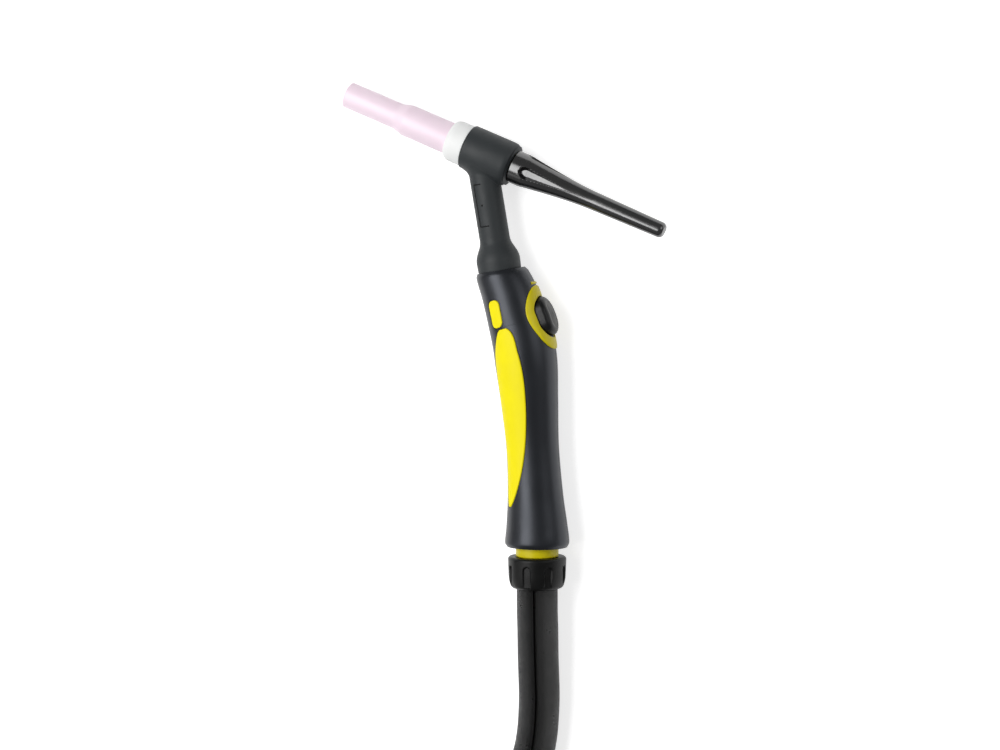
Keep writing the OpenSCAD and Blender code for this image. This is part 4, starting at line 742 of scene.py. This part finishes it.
# flutes: the wall is the lower of the cap's own radius and a trough with a flat floor and curved sides,
# rounded at its start, so the trough runs out to a point where the taper meets its floor
def makeBackCap():
    sides = 288
    turn = np.linspace(0, 2 * np.pi, sides, endpoint=False)[None, :]
    along = np.concatenate([[0.0, 0.25, 0.7], np.linspace(1.2, 60, 210), np.linspace(61, 96, 40),
                            [96.8, 97.3, 97.7, 97.95, 98]])[:, None]
    capEnd = torch["capLength"]
    baseRound = cap["mouthRound"] * ease((cap["mouthLength"] - along) / cap["mouthLength"])
    tipShare = np.clip((along - (capEnd - cap["tipLength"])) / cap["tipLength"], 0, 1)
    endRound = cap["tipRound"] * tipShare ** 2
    outer = capRadius(along) - baseRound - endRound
    section = 2 * np.pi / cap["flutes"]
    angle = (turn + section / 2) % section - section / 2
    sideway = outer * np.sin(angle)
    before = np.minimum(along - cap["fluteFrom"], 0)
    reach = np.sqrt(sideway ** 2 + before ** 2)
    gone = np.clip((along - cap["fluteFrom"]) / cap["fluteLength"], 0, 1)
    floorHalf = cap["floorHalf"] * (1 - gone) ** 0.85
    bank = np.clip((reach - floorHalf) / (cap["rimWide"] * (1 - 0.6 * gone)), 0, 2.4)
    floor = mix(cap["floor"], capRadius(cap["fluteFrom"] + cap["fluteLength"]), gone ** 0.7)
    trough = floor / np.cos(angle) + cap["bankRise"] * bank ** 1.5
    radius = 0.5 * (outer + trough - np.sqrt((outer - trough) ** 2 + cap["rimBlend"] ** 2))
    close = np.array([(cap["tipFlat"], capEnd), (cap["pinhole"], capEnd), (cap["pinhole"], cap["boreEnd"]),
                      (cap["boreRadius"], cap["boreEnd"] - 0.1), (cap["boreRadius"], cap["insertTo"]),
                      (cap["insertRadius"], cap["insertTo"]), (cap["insertRadius"], cap["insertFrom"]),
                      (cap["sealRadius"], cap["insertFrom"]), (cap["sealRadius"], cap["mouthDeep"]),
                      (cap["mouthRadius"], cap["mouthDeep"]), (cap["mouthRadius"], 0)])
    radius = np.concatenate([radius, close[:, :1] * np.ones_like(turn)])
    along = np.concatenate([along * np.ones_like(turn), close[:, 1:] * np.ones_like(turn)])
    rings = turned(radius, along, onHead(capFrom), headAxis, side=up, sides=sides)
    return ringSolid("backCap", rings, loop=True, sharp=30)


finish(makeBackCap(), "blackPhenolic", "cap", ["back_cap"])
print("back cap made")

# handle
handle = {"topWidth": 31.2, "buttonWidth": 34.7, "swellWidth": 36.8, "waistWidth": 31.2, "endWidth": 38.2,
          "flatness": 0.915, "endDepth": 34.2, "wall": 2.2, "depthFrom": 120}
stations = np.array([
    [0, 0.6, handle["topWidth"] - 2.6, torch["neckLean"]],
    [2.5 / 162, 1.6, handle["topWidth"], torch["neckLean"] + 0.8],
    [13 / 162, 5.9, (handle["topWidth"] + handle["buttonWidth"]) / 2 + 0.2, 15],
    [27 / 162, 10.1, handle["buttonWidth"], 16],
    [41 / 162, 14.2, handle["swellWidth"] - 0.1, 14],
    [55 / 162, 16.4, handle["swellWidth"], 8],
    [76 / 162, 18.2, (handle["swellWidth"] + handle["waistWidth"]) / 2, 4],
    [104 / 162, 20.2, handle["waistWidth"], 3.5],
    [132 / 162, 21.9, handle["waistWidth"] + 1.8, 3],
    [150 / 162, 22.8, handle["endWidth"] - 1.8, 3],
    [159.5 / 162, 23, handle["endWidth"], 1],
    [1, 23, handle["endWidth"] - 2.4, 0]])


# column k of the stations at distance down: cubic through them with slopes from their neighbours
def alongHandle(down, k):
    share = np.clip(np.asarray(down, float) / torch["handleLength"], 0, 1)
    at, value = stations[:, 0], stations[:, k]
    before, after = np.maximum(np.arange(len(at)) - 1, 0), np.minimum(np.arange(len(at)) + 1, len(at) - 1)
    slope = (value[after] - value[before]) / (at[after] - at[before])
    i = np.clip(np.searchsorted(at, share, side="right") - 1, 0, len(at) - 2)
    width = at[i + 1] - at[i]
    t = (share - at[i]) / width
    return ((2 * t ** 3 - 3 * t ** 2 + 1) * value[i] + (t ** 3 - 2 * t ** 2 + t) * width * slope[i]
            + (3 * t ** 2 - 2 * t ** 3) * value[i + 1] + (t ** 3 - t ** 2) * width * slope[i + 1])


def halfWidth(down):
    return alongHandle(down, 2) / 2


def halfDepth(down):
    share = ease((down - handle["depthFrom"]) / (torch["handleLength"] - handle["depthFrom"] - 12))
    return mix(halfWidth(down) * handle["flatness"],
               handle["endDepth"] / 2 * alongHandle(down, 2) / handle["endWidth"], share)


# point on the handle: ellipse about the leaning spine, angle 0 on the button side, 90 on the flank
def skin(down, angle, lift=0.0, side=1):
    down, angle, lift = np.broadcast_arrays(np.asarray(down, float), angle, lift)
    tilt, turn = np.radians(alongHandle(down, 3)), np.radians(angle)
    reach = (halfWidth(down) + lift) * np.cos(turn)
    x = jointAt[0] + alongHandle(down, 1) + reach * np.cos(tilt)
    y = jointAt[1] - down + reach * np.sin(tilt)
    z = jointAt[2] + side * (halfDepth(down) + lift) * np.sin(turn)
    return np.stack([x, y, z], -1)


leaf = {"from": 31.6, "length": 0.655 * 162, "arc": 70, "thick": 1.5, "proud": 0.3}
badge = {"from": 15.2, "length": 15.4, "width": 8.2, "corner": 3.2, "thick": 1.0, "proud": 0.1, "gap": 0.3}


def degreesOf(length, down):
    return length / halfWidth(down) * 180 / np.pi


def leafEdges(down, grow):
    share = np.clip((down - leaf["from"]) / leaf["length"], 0.001, 0.999)
    middle = 108 + 8 * ease(share / 0.15) + 24 * share ** 4
    half = leaf["arc"] / 2 * np.sqrt(np.sin(np.pi * share ** 0.75)) + degreesOf(grow, down)
    return middle, np.maximum(half, degreesOf(0.4, down))


def badgeEdges(down, grow):
    share = np.clip((down - badge["from"]) / badge["length"], 0, 1)
    corner = badge["corner"] + grow
    inward = np.minimum(down - badge["from"], badge["from"] + badge["length"] - down) + grow
    inward = np.clip(inward, 0, corner)
    half = badge["width"] / 2 + grow - corner + np.sqrt(corner ** 2 - (corner - inward) ** 2)
    return 115.5 + 3 * share, np.maximum(degreesOf(half, down), degreesOf(0.4, down))


onBadge = badge["from"] + badge["length"] + 0.3


def inlayEdges(down, grow):
    middleA, halfA = badgeEdges(down, grow)
    middleB, halfB = leafEdges(down, grow)
    return np.where(down < onBadge, middleA, middleB), np.where(down < onBadge, halfA, halfB)


# rows close together at the ends of each inlay
def inlayRows(start, length, inset, count):
    u = (1 - np.cos(np.linspace(0, np.pi, count))) / 2
    return start + inset + (length - 2 * inset) * u


def handleShell(name, side):
    edge = 0.05
    badgeRows = inlayRows(badge["from"] - badge["gap"], badge["length"] + 2 * badge["gap"], edge, 26)
    leafRows = inlayRows(leaf["from"], leaf["length"], edge, 90)
    down = np.sort(np.concatenate([
        [0, 0.25, 0.6, 1.2, 1.9, 2.7, 4, 6, 8, 10, 12, 14],
        badgeRows, [badgeRows[0] - 0.1, badgeRows[-1] + 0.1],
        leafRows, [leafRows[0] - 0.1, leafRows[-1] + 0.1], np.linspace(139, 157, 16),
        [158.2, 159.2, 160, 160.7, 161.3, 161.7, 162]]))[:, None]
    middle, half = inlayEdges(down, badge["gap"])
    wall = degreesOf(0.22, down)
    bow = (1 - np.cos(np.linspace(0, np.pi, 40))) / 2
    plain = (middle - half - wall) * bow[None, :]
    pocket = middle + half * np.linspace(-1, 1, 22)[None, :]
    back = mix(middle + half + wall, 180.0, ((1 - np.cos(np.linspace(0, np.pi, 24))) / 2)[None, :])
    angle = np.concatenate([plain, pocket, back], 1)
    inBadge = (down > badgeRows[0] - 0.05) & (down < badgeRows[-1] + 0.05)
    inLeaf = (down > leafRows[0] - 0.05) & (down < leafRows[-1] + 0.05)
    deep = np.where(inBadge, badge["thick"] - badge["proud"],
                    np.where(inLeaf, leaf["thick"] - leaf["proud"], 0))
    lift = np.zeros_like(angle)
    lift[:, 40:62] = -np.broadcast_to(deep, (len(down), 22))
    lift[:, [39, 62]] = -0.07 * (deep > 0)  # softened edge of the pocket
    seamWay = np.minimum(angle, 180 - angle) / 180 * np.pi * halfWidth(down)
    lift = lift - 0.22 * np.exp(-(seamWay / 0.22) ** 2)
    outer = skin(down, angle, lift, side)
    thick = handle["wall"] + (halfWidth(down) - 10.2 - handle["wall"]) * ease((5 - down) / 4)
    thick = thick + (halfWidth(down) - 13.1 - handle["wall"]) * ease((down - 155) / 3)
    inner = skin(down, angle, -thick, side)
    if side < 0:
        outer, inner = outer[:, ::-1], inner[:, ::-1]
    return slabSolid(name, outer, inner, sharp=32)


# outline with round ends about the button's middle: long along the handle, wide across it
def stadium(long, wide, sides):
    turn = np.linspace(0, 2 * np.pi, sides, endpoint=False)
    straight = (long - wide) / 2
    return (straight * np.sign(np.round(np.cos(turn), 9)) + wide / 2 * np.cos(turn), wide / 2 * np.sin(turn))


button = {"long": 23.8, "wide": 17.6, "gap": 0.35, "proud": 5, "dome": 40, "edge": 2.6, "skirt": -8.8,
          "flange": 0.8}
buttonAt = skin(torch["buttonDrop"], 0.0)


def onButton(height, along, across):
    return (buttonAt + np.asarray(height)[..., None] * buttonAxis + np.asarray(along)[..., None] * buttonDown
            + np.asarray(across)[..., None] * up)


def stadiumPrism(name, grow, low, high):
    along, across = stadium(button["long"] + 2 * grow, button["wide"] + 2 * grow, 96)
    rings = np.stack([onButton(np.full(96, h), along, across) for h in (low, high)])
    return ringSolid(name, rings)


shellSides = {"handleShellUpper": 1, "handleShellLower": -1}
screwPlaces = ((10.3, 10.1, 8.5), (59.7, -12.12, 7.28), (141.3, -9.5, 10.22))
for shellName, shellSide in shellSides.items():
    shell = handleShell(shellName, shellSide)
    cutAway(shell, stadiumPrism("well", button["gap"], -12, 8))
    if shellSide < 0:
        for down, sideways, deep in screwPlaces:
            spine = jointAt + [float(alongHandle(down, 1)) + sideways, -down, 0]
            pocketLine = np.array([[2.6, 2 - deep], [2.6, -30]])
            cutAway(shell, ringSolid("pocket", turned(pocketLine[:, 0], pocketLine[:, 1], spine, up,
                                                      side=flat(0), sides=40)))
    node = "handle_shell_upper" if shellSide > 0 else "handle_shell_lower"
    finish(shell, "texturedNylon", "torch", [node])
print("handle shells made")


# a pad in its pocket: the edge rolls down over the last tenth of the width and at both ends
def makePad(name, rows, edges, gap, low, high, side, crown):
    down = rows[:, None]
    middle, half = edges(down, -gap)
    across = np.sin(np.linspace(-np.pi / 2, np.pi / 2, 33))[None, :]
    angle = middle + half * across
    halfLength = half / 180 * np.pi * halfWidth(down)
    endWay = np.minimum(down - rows[0], rows[-1] - down)
    edgeWay = np.minimum(halfLength * (1 - np.abs(across)), endWay + 0 * across)
    roll = 0.35 * (1 - ease(edgeWay / 0.55)) ** 1.5
    swell = crown * (1 - across ** 2) * ease(endWay / 6)
    top = skin(down, angle, high + swell - roll, side)
    under = skin(down, angle, low, side)
    if side < 0:
        top, under = top[:, ::-1], under[:, ::-1]
    return slabSolid(name, top, under)


for sideName, sideSign in (("Upper", 1), ("Lower", -1)):
    leafPad = makePad("sideGrip" + sideName, inlayRows(leaf["from"], leaf["length"], 0.35, 110), leafEdges,
                      0.0, leaf["proud"] - leaf["thick"] + 0.05, leaf["proud"], sideSign, 0.12)
    finish(leafPad, "yellowElastomer", "torch", ["side_grip_" + sideName.lower()])
    badgePad = makePad("badge" + sideName, inlayRows(badge["from"], badge["length"], 0.02, 40), badgeEdges,
                       0.0, badge["proud"] - badge["thick"] + 0.05, badge["proud"] + 0.1, sideSign, 0.05)
    finish(badgePad, "yellowElastomer", "torch", ["badge_" + sideName.lower()])
print("grips and badges made")

# trigger
bezel = {"long": 37.5, "wide": 26, "down": -0.4, "thick": 0.9, "lift": 0.1, "gap": 0.1, "square": 0.82}


# the bezel's section from hole to rim, on the handle's skin: stadium inside, oval outside
def makeBezel():
    sides = 160
    turn = np.linspace(0, 2 * np.pi, sides, endpoint=False)[None, :]
    tilt = math.cos(math.radians(float(alongHandle(torch["buttonDrop"], 3))))
    grow = 2 * (button["gap"] + bezel["gap"])
    hole, holeAcross = stadium(button["long"] + grow, button["wide"] + grow, sides)
    rim = bezel["down"] + bezel["long"] / 2 * np.cos(turn) * tilt
    rimAcross = bezel["wide"] / 2 * np.sign(np.sin(turn)) * np.abs(np.sin(turn)) ** bezel["square"]
    section = np.array([(0, 0.0), (0, 0.6), (0.05, 0.9), (0.2, 1), (0.5, 1.03), (0.8, 1), (0.95, 0.85),
                        (1, 0.55), (1, 0.0), (0.75, 0.0), (0.5, 0.0), (0.25, 0.0)])
    share, height = section[:, :1], section[:, 1:] * bezel["thick"] + bezel["lift"]
    down = torch["buttonDrop"] + mix(hole[None] * tilt, rim, share)
    across = mix(holeAcross[None], rimAcross, share)
    angle = np.degrees(np.arcsin(np.clip(across / halfDepth(down), -1, 1)))
    return ringSolid("switchBezel", skin(down, angle, height), loop=True)


finish(makeBezel(), "mustardNylon", "torch", ["switch_bezel"])


def makeBezelMark():
    down = 10.1 + np.linspace(0, 1.6, 9)[:, None]
    angle = np.linspace(-16, 16, 25)[None, :]
    inward = np.minimum(np.minimum(down - 10.1, 11.7 - down), (16 - np.abs(angle)) / 180 * np.pi * 16)
    top = 0.75 - 0.4 * (1 - ease(inward / 0.5))
    return slabSolid("bezelMark", skin(down, angle, top), skin(down, angle, 0.05))


finish(makeBezelMark(), "mustardNylon", "torch", ["bezel_mark"])


# the button: stadium outlines drawn in step by step over a domed face, with a rolled edge and a flange
def makeButton():
    sides = 128
    edgeSteps = 1 - np.sin(np.linspace(0, np.pi / 2, 12))
    inset = np.concatenate([np.linspace(8.5, 3, 14), button["edge"] * edgeSteps])
    rolled = np.clip(button["edge"] - inset, 0, None)
    drop = button["edge"] - np.sqrt(np.maximum(button["edge"] ** 2 - rolled ** 2, 0))
    dish = 0.25 * ease((inset - 3.2) / 1.2)  # shallow finger dish inside a rounded rim
    level = button["proud"] - 0.35 - drop * 0.95 - dish
    rows = [(i, h) for i, h in zip(inset, level)]
    rows += [(0, -2), (0, button["skirt"]), (-button["gap"] - button["flange"], button["skirt"]),
             (-button["gap"] - button["flange"], button["skirt"] - 0.9), (0.2, button["skirt"] - 0.9)]
    rings = []
    for inward, height in rows:
        along, across = stadium(button["long"] - 2 * inward, button["wide"] - 2 * inward, sides)
        sag = (along ** 2 + across ** 2) / (2 * button["dome"]) * (height > 0)
        rings.append(onButton(height - sag, along, across))
    # the hollow underneath: a round pocket with the stem standing in it
    turn = np.linspace(0, 2 * np.pi, sides, endpoint=False)
    for radius, height in ((7.4, -9.7), (7.4, -2), (1.8, -2), (1.8, -9.7), (0.3, -9.7)):
        rings.append(onButton(np.full(sides, float(height)), radius * np.cos(turn), radius * np.sin(turn)))
    return ringSolid("triggerButton", np.stack(rings))


finish(makeButton(), "glossNylon", "button", ["trigger_button"])
print("trigger made")

# tail
swivel = {"radius": 12.6, "flangeRadius": 14.3, "bore": 8.4, "behind": 11, "inHandle": 5}
screwEnd = torch["nutLength"] / 2 - 0.3
swivelRing = turnedPiece("swivelRing", [
    (swivel["bore"], -swivel["behind"], 0.3), (swivel["flangeRadius"], -swivel["behind"], 0.4),
    (swivel["flangeRadius"], -swivel["inHandle"], 0.3), (swivel["radius"], -swivel["inHandle"], 0.2),
    (swivel["radius"], torch["swivelLength"] - 0.3, 0.4),
    (swivel["radius"] - 1, torch["swivelLength"] - 0.3, 0.2),
    (swivel["radius"] - 1, torch["swivelLength"] + screwEnd, 0.4),
    (swivel["bore"], torch["swivelLength"] + screwEnd, 0.4)], tailAt, tailAxis, sides=128)
finish(swivelRing, "mustardNylon", "swivel", ["swivel_ring"])

nut = {"radius": 17.2, "slots": 8, "slotHalf": 2.35, "slotDepth": 1.3, "slotFrom": 4.6,
       "sheathRadius": 12.3}


# the nut: a turned outline less grip slots, each with a round head and soft walls
def makeNut():
    sides = 320
    r = nut["radius"]
    line = rounded([(11.6, 0, 0.2), (r - 0.9, 0, 0.3), (r, 0.9, 0.7), (r - 0.5, 14, 3), (r - 2.0, 18.3, 1.6),
                    (r - 4.4, 18.8, 0.4), (nut["sheathRadius"], 18.8, 0.3), (nut["sheathRadius"], 9.4, 0.2),
                    (11.6, 9.4, 0.2)])
    dense = np.concatenate([mix(line[k], line[(k + 1) % len(line)], np.linspace(0, 1, max(2, int(
        np.linalg.norm(line[(k + 1) % len(line)] - line[k]) / 0.35)))[:-1, None]) for k in range(len(line))])
    radius, along = dense[:, :1], dense[:, 1:]
    turn = np.linspace(0, 2 * np.pi, sides, endpoint=False)[None, :]
    section = 2 * np.pi / nut["slots"]
    angle = (turn - nut["turn"]) % section - section / 2
    sideway = radius * np.sin(angle)
    before = np.minimum(along - nut["slotFrom"] - nut["slotHalf"], 0)
    reach = np.sqrt(sideway ** 2 + before ** 2)
    inside = ease((nut["slotHalf"] + 0.15 - reach) / 0.45) * ease((radius - 14.2) / 0.6)
    floor = np.minimum(radius, r - nut["slotDepth"] - 0.04 * np.maximum(along - 10, 0))
    radius = mix(radius, floor, inside)
    return ringSolid("cableNut", turned(radius, along * np.ones_like(turn),
                                        tailAt + torch["swivelLength"] * tailAxis, tailAxis, sides=sides),
                     loop=True, sharp=42)


nut["turn"] = math.radians(-18)
finish(makeNut(), "nutNylon", "swivel", ["cable_nut"])
print("tail made")

# finishes of the carried-over parts
carried = {
    "turnedCopper": ["collet_body", "collet"],
    "groundTungsten": ["tungsten_electrode"],
    "turnedBrass": ["head_core", "back_cap_insert", "neck_tube", "cable_coupling", "power_plug_pin",
                    "gas_nipple", "gas_nut"],
    "mouldedRubber": ["back_cap_o_ring", "inner_cable", "switch_lead"],
    "zincSteel": ["handle_screws", "button_spring"],
    "glossNylon": ["microswitch", "switch_plunger"],
}
for finishName, nodeNames in carried.items():
    for nodeName in nodeNames:
        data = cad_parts[nodeName].data
        data.materials.clear()
        data.materials.append(materials[finishName])
print("carried-over parts finished")
